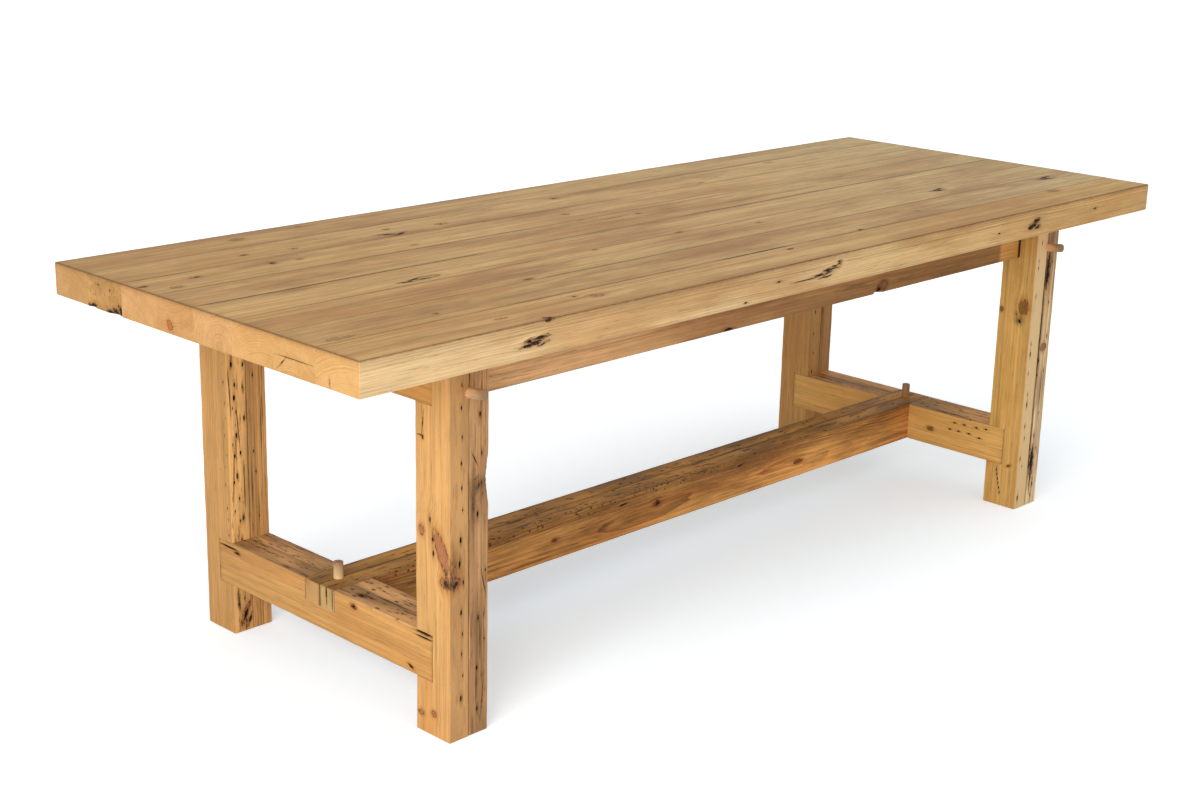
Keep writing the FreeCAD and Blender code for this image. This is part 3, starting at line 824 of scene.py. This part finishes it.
for number, plank in planks.items():
    look = dict(topWood, pith=plank["pith"], **plank.get("own", {}))
    for tone in ("pale", "deep", "blush"):
        look[tone] = [min(255, c * plank["shade"]) for c in topWood[tone]]
    board = dict(topShape, grain="x", body="frame", slot="plank_pine", seed=number, **plank, look=look)
    board["arrises"] = [(face, "+Z", *topEdges["rubbed"]) for face in ("-X", "+X")]
    board["seams"] = []
    for face, outer, seam in (("-Y", 1, number - 1), ("+Y", len(planks), number)):
        board["arrises"].append((face, "+Z", *topEdges["rubbed" if number == outer else "seamRub"]))
        if "seam" in planks.get(seam, {}):
            board["seams"].append((face, planks[seam]["seam"]))
        if number == outer:
            board["ease"] = topEdges["outerEase"]
    dress(f"top_plank_{number}", board)
print("top planks done")

# Pegs and the bores that they stand in
pegs = dict(diameter=19, fit=0.05, bevel=1.5, rise=25, depth=75, proud=38, tilt=7, floor=8, sides=48,
            hub=0.02, roundOver=(0.35, 0.3), tipRings=(0.6, 0.3))
boreRadius = (pegs["diameter"] / 2 + pegs["fit"]) * mm
tilt = math.radians(pegs["tilt"])
lean = math.tan(tilt)


def pegBore(axis, centre, reach, leaning=0.0):
    return dict(axis=axis, centre=centre, radius=boreRadius, reach=reach, lean=leaning)


def legPegRoot(side, end):
    # Where a peg's axis meets the leg's outer face.
    leg, rail = nodeBox(f"{side}_{end}_leg_outer"), nodeBox(f"{end}_top_rail_outer")
    seam, outside = facePlace(leg, seamFace(end, "outer"))[2], facePlace(leg, sideFace[side])[2]
    return np.array([seam, outside, rail[0][2] + pegs["rise"] * mm])


# Legs: pairs of timbers with the rails housed in their inner halves
legWood = dict(
    pale=(216, 165, 102), deep=(175, 118, 62), blush=(206, 151, 89), end=(190, 136, 78), ring=6.0, wander=22,
    contrast=0.5, streaks=0.5, mottle=0.3, smoke=0.3, smokeTone=(190, 138, 80), heart=(170, 108, 74),
    edgeTone=(206, 162, 108), edgeShare=0.3, gloss=0.6, bump=0.3, pith=(30, -70),
)
legs = {
    "front_left_leg_outer": dict(
        own=dict(pith=(-120, 90), ring=3.4, blush=(214, 147, 78), faceTone=("-Y", (204, 156, 106), 0.4),
                 wornFace=("-Y", (196, 146, 96), 0.3)),
        nails=[
            ("-X", [(-318, 410, 3.0), (-325, 375, 2.6), (-327, 350, 3.0)]),
            ("-Y", [(-919, 658, 1.6), (-920, 618, 2.0), (-918, 566, 2.0), (-920, 519, 2.4), (-919, 474, 2.0),
                    (-917, 434, 1.6), (-921, 380, 3.4), (-923, 335, 4.2), (-915, 300, 2.6), (-920, 244, 3.0),
                    (-917, 203, 2.0), (-919, 165, 2.2), (-916, 123, 1.6), (-920, 80, 3.6)])],
        knots=[
            ("-X", [(-296, 385, 7, 9, 0.1), (-350, 356, 13, 41, 0.1, 27)]),
            ("-Y", [(-941, 303, 12, 13, 0.73)]),
            ("-X", [(-365, 303, 11, 12, 0.73), (-300, 556, 3, 4, 0.9), (-328, 44, 6, 6, 0.42),
                    (-293, 36, 7, 5, 0.4)])],
        checks=[("-X", [(-300, 582, 0.8, 24, 6), (-292, 558, 8, 0.7)])],
        smears=[("-Y", [(-934, 335, 9, 40, 1.0), (-938, 303, 10, 13, 0.9), (-926, 650, 14, 12, 0.35)]),
                ("-X", [(-360, 318, 9, 18, 1.0), (-362, 303, 9, 12, 0.9)])]),
    "front_left_leg_inner": dict(
        own=dict(pale=(214, 164, 112), deep=(112, 74, 42), blush=(188, 140, 94), contrast=1.0, pith=(-25, 12),
                 ring=4.6, wander=40, smoke=0.7, smokeTone=(140, 102, 68), streaks=1.1, cracks=0.85,
                 wornFace=("-Y", (186, 140, 94), 0.5)),
        nails=[("-Y", [(-877, 598, 3.2), (-873, 528, 2.4), (-882, 418, 3.4), (-864, 310, 2.0),
                       (-880, 223, 3.2), (-883, 128, 2.6), (-882, 48, 3.2), (-866, 180, 1.6)])],
        checks=[("-Y", [(-889, 520, 0.9, 15, 28), (-876, 190, 0.8, 44), (-885, 96, 0.7, 36),
                        (-868, 288, 0.7, 30, 12), (-871, 62, 0.8, 30, -5)])],
        wanes=[("+X", "-Y", 480, 48, 15), ("+X", "-Y", 300, 40, 5)],
        smears=[("-Y", [(-880, 470, 28, 17, 1.25, 25), (-888, 484, 14, 3, 1.2, 24), (-894, 440, 7, 60, 1.2),
                        (-872, 455, 10, 24, 0.9, -20), (-893, 390, 5, 60, 0.7), (-868, 300, 5, 70, 0.6, 6),
                        (-872, 110, 7, 60, 0.6, -4)])]),
    "back_left_leg_outer": dict(
        own=dict(pith=(120, 80), ring=3.6, pale=(200, 151, 91), wornFace=("-Y", (255, 200, 127), 0.75)),
        nails=[
            ("-Y", [(-935, 558, 3.4), (-909, 553, 2.6), (-929, 516, 2.8), (-911, 508, 2.0), (-931, 490, 3.4),
                    (-927, 461, 2.2), (-909, 445, 3.2), (-935, 470, 1.6), (-928, 413, 3.4), (-937, 396, 1.6),
                    (-933, 372, 2.4), (-920, 376, 2.4), (-929, 330, 3.4), (-936, 318, 1.6), (-926, 283, 2.0),
                    (-917, 240, 3.2), (-925, 236, 1.8), (-937, 258, 1.6), (-923, 196, 2.4), (-921, 70, 2.0),
                    (-935, 60, 2.2)]),
            ("-X", rowNails(291, 200, 590, 12, 1.3, 41))],
        knots=[("-Y", [(-920, 36, 7, 24, 0.8, -22), (-912, 24, 6, 18, 0.75, -18)])],
        checks=[("-Y", [(-924, 430, 0.9, 46, 4), (-937, 330, 0.9, 60, -3), (-941, 500, 0.8, 50, 2),
                        (-913, 300, 0.8, 40), (-934, 70, 0.8, 26, 6)])],
        smears=[("-X", [(296, 400, 8, 120, 0.6), (310, 340, 14, 26, 0.35)]),
                ("-Y", [(-931, 400, 5, 160, 0.8)])]),
    "back_left_leg_inner": dict(
        own=dict(pale=(210, 158, 98), deep=(96, 60, 30), contrast=1.15, ring=5.2, pith=(-40, 120),
                 streaks=1.1, cracks=0.9),
        nails=[("-Y", [(-887, 528, 2.0), (-889, 373, 1.8), (-885, 330, 1.6), (-880, 236, 1.6)])],
        checks=[("-Y", [(-870, 420, 0.7, 60), (-895, 300, 0.7, 50), (-880, 250, 0.6, 34)])]),
    "front_right_leg_outer": dict(
        own=dict(pale=(240, 210, 163), deep=(104, 70, 40), blush=(222, 178, 122), contrast=0.9, pith=(20, 90),
                 ring=11, wander=50, smoke=0.8, smokeTone=(70, 48, 30), streaks=1.2, heart=(150, 104, 70),
                 cracks=0.9),
        nails=[("-Y", [(907, 366, 3.4), (906, 330, 2.6), (917, 176, 3.0), (927, 51, 3.6), (924, 24, 3.0)]),
               ("-Y", rowNails(930, 60, 600, 7, 2.2, 43))],
        knots=[("-Y", [(922, 396, 12, 9, 0.0), (912, 585, 9, 50, 0.9), (915, 110, 9, 40, 0.9)])],
        checks=[("-Y", [(935, 300, 0.8, 70)])],
        wanes=[("-X", "-Y", 560, 90, 12), ("-X", "-Y", 380, 80, 9), ("-X", "-Y", 150, 90, 11),
               ("-X", "-Y", 30, 40, 9)],
        smears=[("-Y", [(904, 450, 4, 180, 1.6), (905, 140, 4, 120, 1.6)])]),
    "front_right_leg_inner": dict(
        own=dict(pale=(222, 176, 102), deep=(180, 130, 62), blush=(208, 158, 82), pith=(80, 100), ring=4.0,
                 heart=(128, 82, 40), faceTone=("-Y", (250, 215, 160), 0.85), smoke=0.6,
                 smokeTone=(186, 132, 66), streaks=0.8, mottle=0.45),
        nails=[
            ("-Y", [(877, 655.5, 1.8), (869.5, 613, 1.8), (869.5, 595.5, 2.0), (869.5, 528, 2.2),
                    (867, 413, 2.0), (867, 388, 3.2), (866, 340.5, 2.0), (872, 288, 2.0), (872, 263, 3.2),
                    (872, 208, 2.2), (874.5, 178, 2.0), (864, 128, 2.6), (874.5, 108, 1.6), (867, 28, 3.6)]),
            ("-X", [(-311 - i * 2.6, 88 - i * 11, 2.0) for i in range(6)])],
        knots=[("-X", [(-348, 500, 13, 17, 0.25), (-288, 485, 5, 6, 0.0), (-287, 118, 5, 12, 0.15),
                       (-343, 105, 6, 3, 0.6, 25)])],
        smears=[("-X", [(-338, 466, 15, 15, 1.3), (-330, 480, 8, 10, 1.0), (-350, 70, 14, 40, 0.5)])]),
    "back_right_leg_outer": dict(
        own=dict(pale=(190, 144, 92), deep=(130, 88, 48), contrast=0.8, pith=(40, 90), cracks=0.8),
        nails=[("+X", rowNails(320, 60, 600, 10, 2.0, 45)), ("+Y", rowNails(925, 60, 600, 8, 2.2, 46))],
        wanes=[("+X", "+Y", 350, 60, 7)], smears=[("-Y", [(907, 430, 4, 150, 1.4)])]),
    "back_right_leg_inner": dict(
        own=dict(pale=(206, 160, 98), pith=(-50, -90), ring=4.0),
        nails=[("-Y", rowNails(872, 210, 600, 9, 2.0, 44))], knots=[("-X", [(320, 420, 9, 11, 0.1)])],
        smears=[("-Y", [(895, 500, 4, 90, 0.9)])]),
}
legSeam = [(-60, 260, 0.25), (200, 520, 0.5), (470, 620, 0.3), (590, 790, 0.4)]
legShape = dict(grain="z", body="frame", slot="leg_pine", steps=(15, 15, 18), ease=2.4)

seed = 20
for end in ends:
    for side, sideSign in sides:
        for layer in layers:
            node = f"{side}_{end}_leg_{layer}"
            seed += 1
            root = legPegRoot(side, end)
            railEnd = facePlace(nodeBox(f"{end}_top_rail_{layer}"), sideFace[side])[2]
            bore = pegBore(1, root, (root[1], railEnd), sideSign * lean)
            dress(node, dict(
                legShape, **legs[node], seed=seed, look=dict(legWood, **legs[node]["own"]), bores=[bore],
                seams=[(seamFace(end, layer), legSeam)],
                cuts=[nodeBox(f"{end}_{height}_rail_{layer}") for height in ("foot", "top")],
            ))
print("legs done")

# Foot rails, with the lap that the stretcher drops into
railWood = dict(
    pale=(211, 161, 96), deep=(184, 126, 65), blush=(204, 147, 83), end=(190, 136, 78), ring=6.5, wander=24,
    contrast=0.55, streaks=0.5, mottle=0.3, smoke=0.3, smokeTone=(190, 132, 72), heart=(140, 84, 46),
    edgeTone=(150, 108, 62), edgeShare=0.3, gloss=0.6, bump=0.3, cracks=0.15,
)
footWeather = (216, 171, 118)
footLooks = dict(
    # The left rails' tone is painted shade: darker towards the back, where less light reaches.
    left=dict(pith=(70, -45), tones=[(-50, 250, *toEnd, (246, 245, 245))]),
    right=dict(pith=(30, -45), pale=(232, 182, 106), deep=(196, 138, 70), blush=(222, 166, 90)),
)
railShape = dict(grain="y", body="frame", slot="rail_pine", steps=(15, 18, 15), ease=1.4)
lapFit = 0.3 * mm
far = 9  # metres, past any timber
footRails = {
    "left_foot_rail_outer": dict(
        nails=[("+Z", [(-926, -97, 4.6)]), ("+Z", rowNails(-921, 70, 270, 11, 1.9, 51)),
               ("+Z", rowNails(-921, -270, -130, 6, 2.0, 52))],
        knots=[("-X", [(-102, 180, 9, 5, 0.8), (-265, 116, 8, 3, 0.8, -20), (262, 177, 10, 3, 0.85)]),
               ("+Z", [(-924, -99, 6, 11, 0.85)])],
        checks=[("-X", [(293, 183, 32, 2.0), (-300, 190.5, 26, 3.0), (-301, 182, 24, 1.8)])]),
    "left_foot_rail_inner": dict(
        nails=[("+Z", rowNails(-894, 60, 270, 10, 2.0, 53)), ("+Z", rowNails(-880, -270, -60, 9, 2.2, 54))]),
    "right_foot_rail_outer": dict(nails=[("+X", rowNails(150, -270, 270, 12, 2.0, 56, False))]),
    "right_foot_rail_inner": dict(
        nails=[("-X", [(-182, 176, 2.4), (-210, 177, 2.4), (-245, 178, 2.4), (-272, 180, 2.4),
                       (-170, 157, 2.4), (-195, 157, 2.4), (-225, 158, 2.4), (-255, 154, 2.4)]),
               ("+Z", rowNails(872, 60, 270, 8, 2.0, 55))],
        knots=[("-X", [(-112, 145, 9, 5, 0.4)])]),
}
footSeam = [(-400, -100, 0.45), (-140, 400, 0.35)]
footEnds = [("-Y", [(-400, -200, 0.6)]), ("+Y", [(200, 400, 0.5)])]

for end in ends:
    for layer in layers:
        node = f"{end}_foot_rail_{layer}"
        box = nodeBox(node)
        seed += 1
        lapFloor = (box[0][2] + box[1][2]) / 2
        half = nodeBox("back_stretcher")[1][1] + lapFit
        seam = facePlace(box, seamFace(end, layer))[2]
        bore = pegBore(2, np.array([seam, 0, lapFloor]), (box[0][2] + pegs["floor"] * mm, lapFloor))
        lap = ((-far, -half, lapFloor), (far, half, far))
        dress(node, dict(
            railShape, **footRails[node], seed=seed, bores=[bore], cuts=[lap],
            look=dict(railWood, weather=footWeather, **footLooks[end]),
            seams=[(seamFace(end, layer), footSeam), *footEnds],
        ))
print("foot rails done")

# Top rails and aprons, counterbored from below for the screws that hold the top
counterbore = dict(radius=12, depth=40, railShares=(-1.5, -0.5, 0.5, 1.5), apronShares=(-0.53, 0, 0.53))
topRailLook = dict(railWood, pith=(40, 90), pale=(208, 152, 82))


def counterbores(box, places):
    reach = (box[0][2], box[0][2] + counterbore["depth"] * mm)
    return [dict(axis=2, centre=np.array([x, y, box[0][2]]), radius=counterbore["radius"] * mm, reach=reach)
            for x, y in places]


plankWidth = np.ptp(nodeBox("top_plank_1")[:, 1])
for end in ends:
    for layer in layers:
        node = f"{end}_top_rail_{layer}"
        box = nodeBox(node)
        seed += 1
        bores = []
        for side, sideSign in sides:
            root = legPegRoot(side, end)
            railEnd = facePlace(box, sideFace[side])[2]
            bottom = root[1] - sideSign * pegs["depth"] * mm * math.cos(tilt)
            inward = railEnd - root[1]
            mouth = root + np.array([0, inward, sideSign * lean * inward])
            bores.append(pegBore(1, mouth, (railEnd, bottom), sideSign * lean))
        if layer == "inner":
            middle = (box[0][0] + box[1][0]) / 2
            bores += counterbores(box, [(middle, share * plankWidth) for share in counterbore["railShares"]])
        dress(node, dict(railShape, seed=seed, bores=bores, look=topRailLook))

apronWood = dict(
    pale=(236, 186, 132), deep=(168, 114, 68), blush=(220, 162, 108), end=(160, 116, 70), ring=5.0, wander=26,
    contrast=0.75, streaks=0.8, mottle=0.35, smoke=0.6, smokeTone=(140, 98, 60), heart=(146, 100, 60),
    cracks=0.4, edgeTone=(120, 82, 48), edgeShare=0.3, gloss=0.62, bump=0.4, pith=(110, -60),
    # The tones darken the apron from the middle towards its right end; the lighter, more orange strip just
    # short of the right end is painted bounce light from the leg beside it.
    tones=[(-700, 100, 764, 782, (196, 188, 170)), (100, 500, 764, 782, (236, 230, 220)),
           (768, 783, *toEnd, (248, 234, 186)), (843, 850, *toEnd, (70, 54, 40))],
)
apronShape = dict(grain="x", body="frame", slot="apron_pine", steps=(40, 15, 15), ease=1.4, look=apronWood)
aprons = dict(
    front=dict(knots=[("-Y", [(308, 624, 8, 9, 1.0), (326, 632, 11, 9, 0.0), (-182, 619, 13, 4, 0.9)])],
               wanes=[("-Y", "-Z", 306, 16, 16)]),
    back=dict(knots=[("+Y", [(-220, 660, 12, 9, 0.2), (420, 640, 14, 9, 0.5)])]),
)
for side, apron in aprons.items():
    node = f"{side}_apron"
    box = nodeBox(node)
    seed += 1
    middle = (box[0][1] + box[1][1]) / 2
    dress(node, dict(
        apronShape, **apron, seed=seed,
        nails=[(sideFace[side], rowNails(690, -800, 800, 9, 2.0, nailSeed["apron"] + seed, False))],
        bores=counterbores(box, [(share * box[1][0], middle) for share in counterbore["apronShares"]]),
    ))
print("top rails and aprons done")

# Stretcher: two timbers whose tongues lie in the foot rails' laps
stretcherWood = dict(
    pale=(243, 176, 98), deep=(112, 62, 28), blush=(211, 136, 69), end=(203, 157, 100), endShare=0.9,
    endRing=0.9, ring=3.3, wander=44, contrast=1.0, streaks=1.5, mottle=0.85, smoke=0.6,
    smokeTone=(110, 64, 28), heart=(112, 64, 32), cracks=0.6, edgeTone=(84, 55, 29), edgeShare=0.75,
    gloss=0.58, bump=0.4, pith=(58, -14), weather=(208, 156, 77), cover=0.8,
    tones=[(*fromStart, 150, 500, (240, 240, 240)), (*fromStart, -740, -680, (220, 220, 222)),
           (*fromStart, -875, -815, (240, 232, 226))],
)
stretcherShape = dict(
    grain="x", body="stretcher", slot="stretcher_pine", steps=(35, 15, 15), ease=1.6, edgeShare=0.5)
stretchers = dict(
    front=dict(
        own=dict(end=(198, 166, 109), pits=(-900, -780, 40, 280)),
        knots=[("-Y", [(-67, 154, 11, 7, 0.6), (-377, 146, 8, 4, 0.4), (420, 140, 16, 6, 0.1)])],
        checks=[("-X", [(-20, 181, 2.2, 13), (-21, 170, 1.2, 14), (-38, 172, 0.9, 20)])],
        smears=[("+Z", [(-925, -22, 60, 30, 1.0), (-880, -30, 40, 20, 0.8)]),
                ("-Y", [(210, 179, 330, 30, 0.95), (-180, 174, 260, 26, 0.85), (-560, 182, 200, 20, 0.55)])]),
    back=dict(
        own={}, knots=[("+Y", [(200, 150, 12, 8, 0.4), (-500, 140, 12, 8, 0.2)])],
        smears=[("+Z", [(-940, 22, 34, 34, 0.5)])]),
)
stretcherSeam = [(-980, -500, 0.6), (-520, 100, 0.4), (60, 980, 0.55)]
tipRub, edgeRub = (1.0, 3.0), (0.85, 17.0)

for side, sideSign in sides:
    node = f"{side}_stretcher"
    box = nodeBox(node)
    seed += 1
    lapFloor = (box[0][2] + box[1][2]) / 2
    bores, cuts = [], []
    for end in ends:
        rail = nodeBox(f"{end}_foot_rail_inner")
        low, high = (rail[0][0], rail[1][0] + lapFit) if end == "left" else (rail[0][0] - lapFit, rail[1][0])
        seam = low if end == "left" else high
        start, stop = (-far, high) if end == "left" else (low, far)
        cuts.append(((start, -far, -far), (stop, far, lapFloor)))
        bores.append(pegBore(2, np.array([seam, 0, lapFloor]), (lapFloor, box[1][2])))
    inside = sideFace["back" if side == "front" else "front"]
    dress(node, dict(
        stretcherShape, **stretchers[side], seed=seed, look=dict(stretcherWood, **stretchers[side]["own"]),
        cuts=cuts, bores=bores, seams=[(inside, stretcherSeam)],
        nails=[("+Z", rowNails(sideSign * 20, -830, 830, 22, 1.8, nailSeed["stretcher"] + seed, False))],
        arrises=[(tip, face, *tipRub) for tip in ("-X", "+X") for face in ("+Y", "-Y", "+Z")]
        + [(sideFace[side], "+Z", *edgeRub)],
    ))
print("stretcher done")

# Finish of fine flecks, for pegs and fastenings; a peg's cut tip has a tone of its own
fleckDetail = (3.0, 0.6)
pegBump = {"Strength": 0.2, "Distance": 0.0005}
pegShine = dict(band=(0.35, 0.7), rough=(0, 1, 0.5, 0.62), metallic=0.0, specular=0.18, tip=(156, 124, 92))
plainShine = dict(band=(0.3, 0.7), specular=0.5)
pegWoods = dict(
    legPegWood=dict(pegShine, stretch=(330, 30, 330), low=(244, 200, 150), high=(198, 142, 92)),
    # The left stretcher peg's tones are lighter than the same wood elsewhere: painted light on that peg.
    leftStretcherPegWood=dict(pegShine, stretch=(330, 330, 30), low=(255, 226, 172), high=(246, 194, 132)),
    rightStretcherPegWood=dict(pegShine, stretch=(330, 330, 30), low=(195, 140, 80), high=(158, 99, 50)),
)


def turned(foot, axis, profile):
    # A profile of (radius, height) pairs carried round the axis.
    side = np.array([1.0, 0, 0])
    across = np.cross(axis, side)
    angles = np.linspace(0, 2 * np.pi, pegs["sides"], endpoint=False)
    radius, height = np.array(profile, float).T * mm
    ring = np.cos(angles)[:, None] * side + np.sin(angles)[:, None] * across
    points = foot + height[:, None, None] * axis + radius[:, None, None] * ring[None]
    number = np.arange(len(profile) * len(angles)).reshape(len(profile), len(angles))
    below, above = number[:-1], number[1:]
    quads = np.stack([below, np.roll(below, -1, 1), np.roll(above, -1, 1), above], -1).reshape(-1, 4)
    return points.reshape(-1, 3), quads


def fleckFinish(name, finish):
    material, n = newMaterial(name)
    fleck = n.noise(n.node("TexCoord").outputs["Object"], finish["stretch"], *fleckDetail)
    tone = n.mix(n.step(fleck, *finish["band"]), srgb(finish["low"]), srgb(finish["high"]))
    shader = n.node("BsdfPrincipled", {
        "Roughness": n.step(fleck, *finish["rough"]), "Metallic": finish["metallic"],
        "Specular IOR Level": finish["specular"]})
    if "tip" in finish:
        tone = n.mix(n.node("Attribute", attribute_name="edge").outputs["Fac"], tone, srgb(finish["tip"]))
        bump = n.node("Bump", {"Height": fleck, **pegBump})
        n.tree.links.new(bump.outputs["Normal"], shader.inputs["Normal"])
    n.tree.links.new(tone, shader.inputs["Base Color"])
    showShader(n, shader)
    return material


pegFinish = {name: fleckFinish(name, wood) for name, wood in pegWoods.items()}


def makePeg(node, foot, axis, length):
    r, bevel, hub = pegs["diameter"] / 2, pegs["bevel"], pegs["hub"]
    inward, down = (share * bevel for share in pegs["roundOver"])
    profile = [(hub, 0), (r - bevel, 0), (r, bevel), (r, length / 3), (r, 2 * length / 3),
               (r, length - bevel), (r - inward, length - down), (r - bevel, length),
               *[(share * r, length) for share in pegs["tipRings"]], (hub, length)]
    points, quads = turned(foot, axis, profile)
    tip = np.repeat([height >= length - bevel for _, height in profile], pegs["sides"])
    piece = putMesh(camel(node), points, quads, {"edge": tip.astype(float)})
    piece.data.materials.append(pegFinish["legPegWood" if "leg" in node else camel(node) + "Wood"])
    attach(piece, node)
    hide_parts(node)


for end in ends:
    for side, sideSign in sides:
        axis = np.array([0, sideSign * math.cos(tilt), math.sin(tilt)])
        foot = legPegRoot(side, end) - axis * pegs["depth"] * mm
        makePeg(f"{side}_{end}_leg_peg", foot, axis, pegs["depth"] + pegs["proud"])
    low, high = nodeBox(f"{end}_stretcher_peg")
    foot = np.array([(low[0] + high[0]) / 2, 0, low[2]])
    makePeg(f"{end}_stretcher_peg", foot, np.array([0.0, 0.0, 1.0]), (high[2] - low[2]) / mm)
print("pegs done")

# Hidden fastenings keep their frame shapes and get a finish
fastenings = dict(
    zincPlate=dict(plainShine, low=(150, 152, 156), high=(196, 198, 200), stretch=(260, 260, 260),
                   metallic=1.0, rough=(0.2, 0.8, 0.3, 0.5), nodes=("top_screws", "top_screw_washers")),
    beechDowel=dict(plainShine, low=(196, 152, 108), high=(222, 182, 138), stretch=(60, 300, 300),
                    metallic=0.0, rough=(0.2, 0.8, 0.5, 0.7),
                    nodes=("plank_dowels", "foot_rail_dowels", "apron_dowels")),
)
for name, finish in fastenings.items():
    material = fleckFinish(name, finish)
    for node in finish["nodes"]:
        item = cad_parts[node]
        item.data.materials.clear()
        item.data.materials.append(material)
print("fastenings done")

# Stage: pale floor that keeps the shadow, soft box overhead, key light from the left
stage = dict(
    floorHalf=40, keyPower=92, keyPlace=(-3.8, -1.8, 1.75), keySize=(2.0, 2.0), keyAim=(-0.5, 0, 0.5),
    topPower=34, topPlace=(0.2, -0.3, 3.6), topSize=(4.2, 3.0), topAim=(0.2, -0.3, 0), ambient=0.53,
    ambientTone=(0.97, 0.98, 1.0, 1), floorBounce=(0.86, 0.86, 0.86, 1), floorTone=(0.97, 0.97, 0.97, 1),
    glowUnder=(0.28, 0.365, 0.415, 1), glowNear=(0.41, 0.435, 0.45, 1), glowFar=(0.62, 0.62, 0.62, 1),
    glowReach=(1.5, 3.6), underReach=(2.4, 0.95, 1), underFade=(1.05, 0.15),
)


def seen(n):
    # One for rays that show the background: from the camera, in a mirror or through glass.
    path = n.node("LightPath").outputs
    return n.most(path["Is Camera Ray"], path["Is Glossy Ray"], path["Is Transmission Ray"])


def makeFloor():
    # Shown floor: its own shade plus a glow, least under the table and most far away.
    half = stage["floorHalf"]
    mesh = bpy.data.meshes.new("floor")
    corners = [(-half, -half, 0), (half, -half, 0), (half, half, 0), (-half, half, 0)]
    mesh.from_pydata(corners, [], [(0, 1, 2, 3)])
    floor = putObject("floor", mesh)
    material, n = newMaterial("paleFloor")
    lit = n.node("BsdfDiffuse", {"Color": stage["floorBounce"]})
    shown = n.node("BsdfDiffuse", {"Color": stage["floorTone"]})
    place = n.node("TexCoord").outputs["Object"]
    oval = n.vector("LENGTH", n.vector("DIVIDE", place, stage["underReach"]))
    glow = n.mix(n.step(oval, *stage["underFade"]), stage["glowNear"], stage["glowUnder"])
    glow = n.mix(n.step(n.vector("LENGTH", place), *stage["glowReach"]), glow, stage["glowFar"])
    lift = n.node("Emission", {"Color": glow, "Strength": 1.0})
    both = n.node("AddShader", {0: shown.outputs[0], 1: lift.outputs[0]})
    showShader(n, n.node("MixShader", {0: seen(n), 1: lit.outputs[0], 2: both.outputs[0]}))
    mesh.materials.append(material)


def makeWorld():
    world = bpy.data.worlds.new("studio")
    n = emptyTree(world)
    soft = n.node("Background", {"Color": stage["ambientTone"], "Strength": stage["ambient"]})
    white = n.node("Background", {"Color": (1, 1, 1, 1), "Strength": 1.0})
    pick = n.node("MixShader", {0: seen(n), 1: soft.outputs[0], 2: white.outputs[0]})
    showShader(n, pick, "OutputWorld")
    bpy.context.scene.world = world


def areaLight(name, key):
    place, aim = Vector(stage[key + "Place"]), Vector(stage[key + "Aim"])
    lamp = bpy.data.lights.new(name, "AREA")
    lamp.energy = stage[key + "Power"]
    lamp.shape = "RECTANGLE"
    lamp.size, lamp.size_y = stage[key + "Size"]
    item = putObject(name, lamp)
    item.location = place
    item.rotation_euler = (aim - place).to_track_quat("-Z", "Y").to_euler()


makeFloor()
makeWorld()
areaLight("overheadBox", "top")
areaLight("leftKey", "key")

# Camera at the photograph's own view; the picture is 1199 by 798 pixels
view = dict(place=(-2.964, -2.688, 1.569), azimuth=45.718, down=16.786, roll=1.320, focalPixels=1911.0,
            widthPixels=1199, sensor=36.0)


def makeCamera():
    azimuth, down, roll = (math.radians(view[key]) for key in ("azimuth", "down", "roll"))
    level = np.array([math.sin(azimuth), math.cos(azimuth), 0])
    ahead = math.cos(down) * level - math.sin(down) * np.array([0, 0, 1])
    right = np.cross(ahead, [0, 0, 1])
    right /= np.linalg.norm(right)
    up = np.cross(right, ahead)
    right, up = math.cos(roll) * right + math.sin(roll) * up, math.cos(roll) * up - math.sin(roll) * right
    lens = bpy.data.cameras.new("camera")
    lens.sensor_fit = "HORIZONTAL"
    lens.sensor_width = view["sensor"]
    lens.lens = view["focalPixels"] * view["sensor"] / view["widthPixels"]
    camera = putObject("camera", lens)
    turn = Matrix([list(row) for row in np.stack([right, up, -ahead], 1)])
    camera.matrix_world = Matrix.Translation(view["place"]) @ turn.to_4x4()
    bpy.context.scene.camera = camera


makeCamera()
bpy.context.scene.view_settings.view_transform = "Standard"
print("stage and camera done")
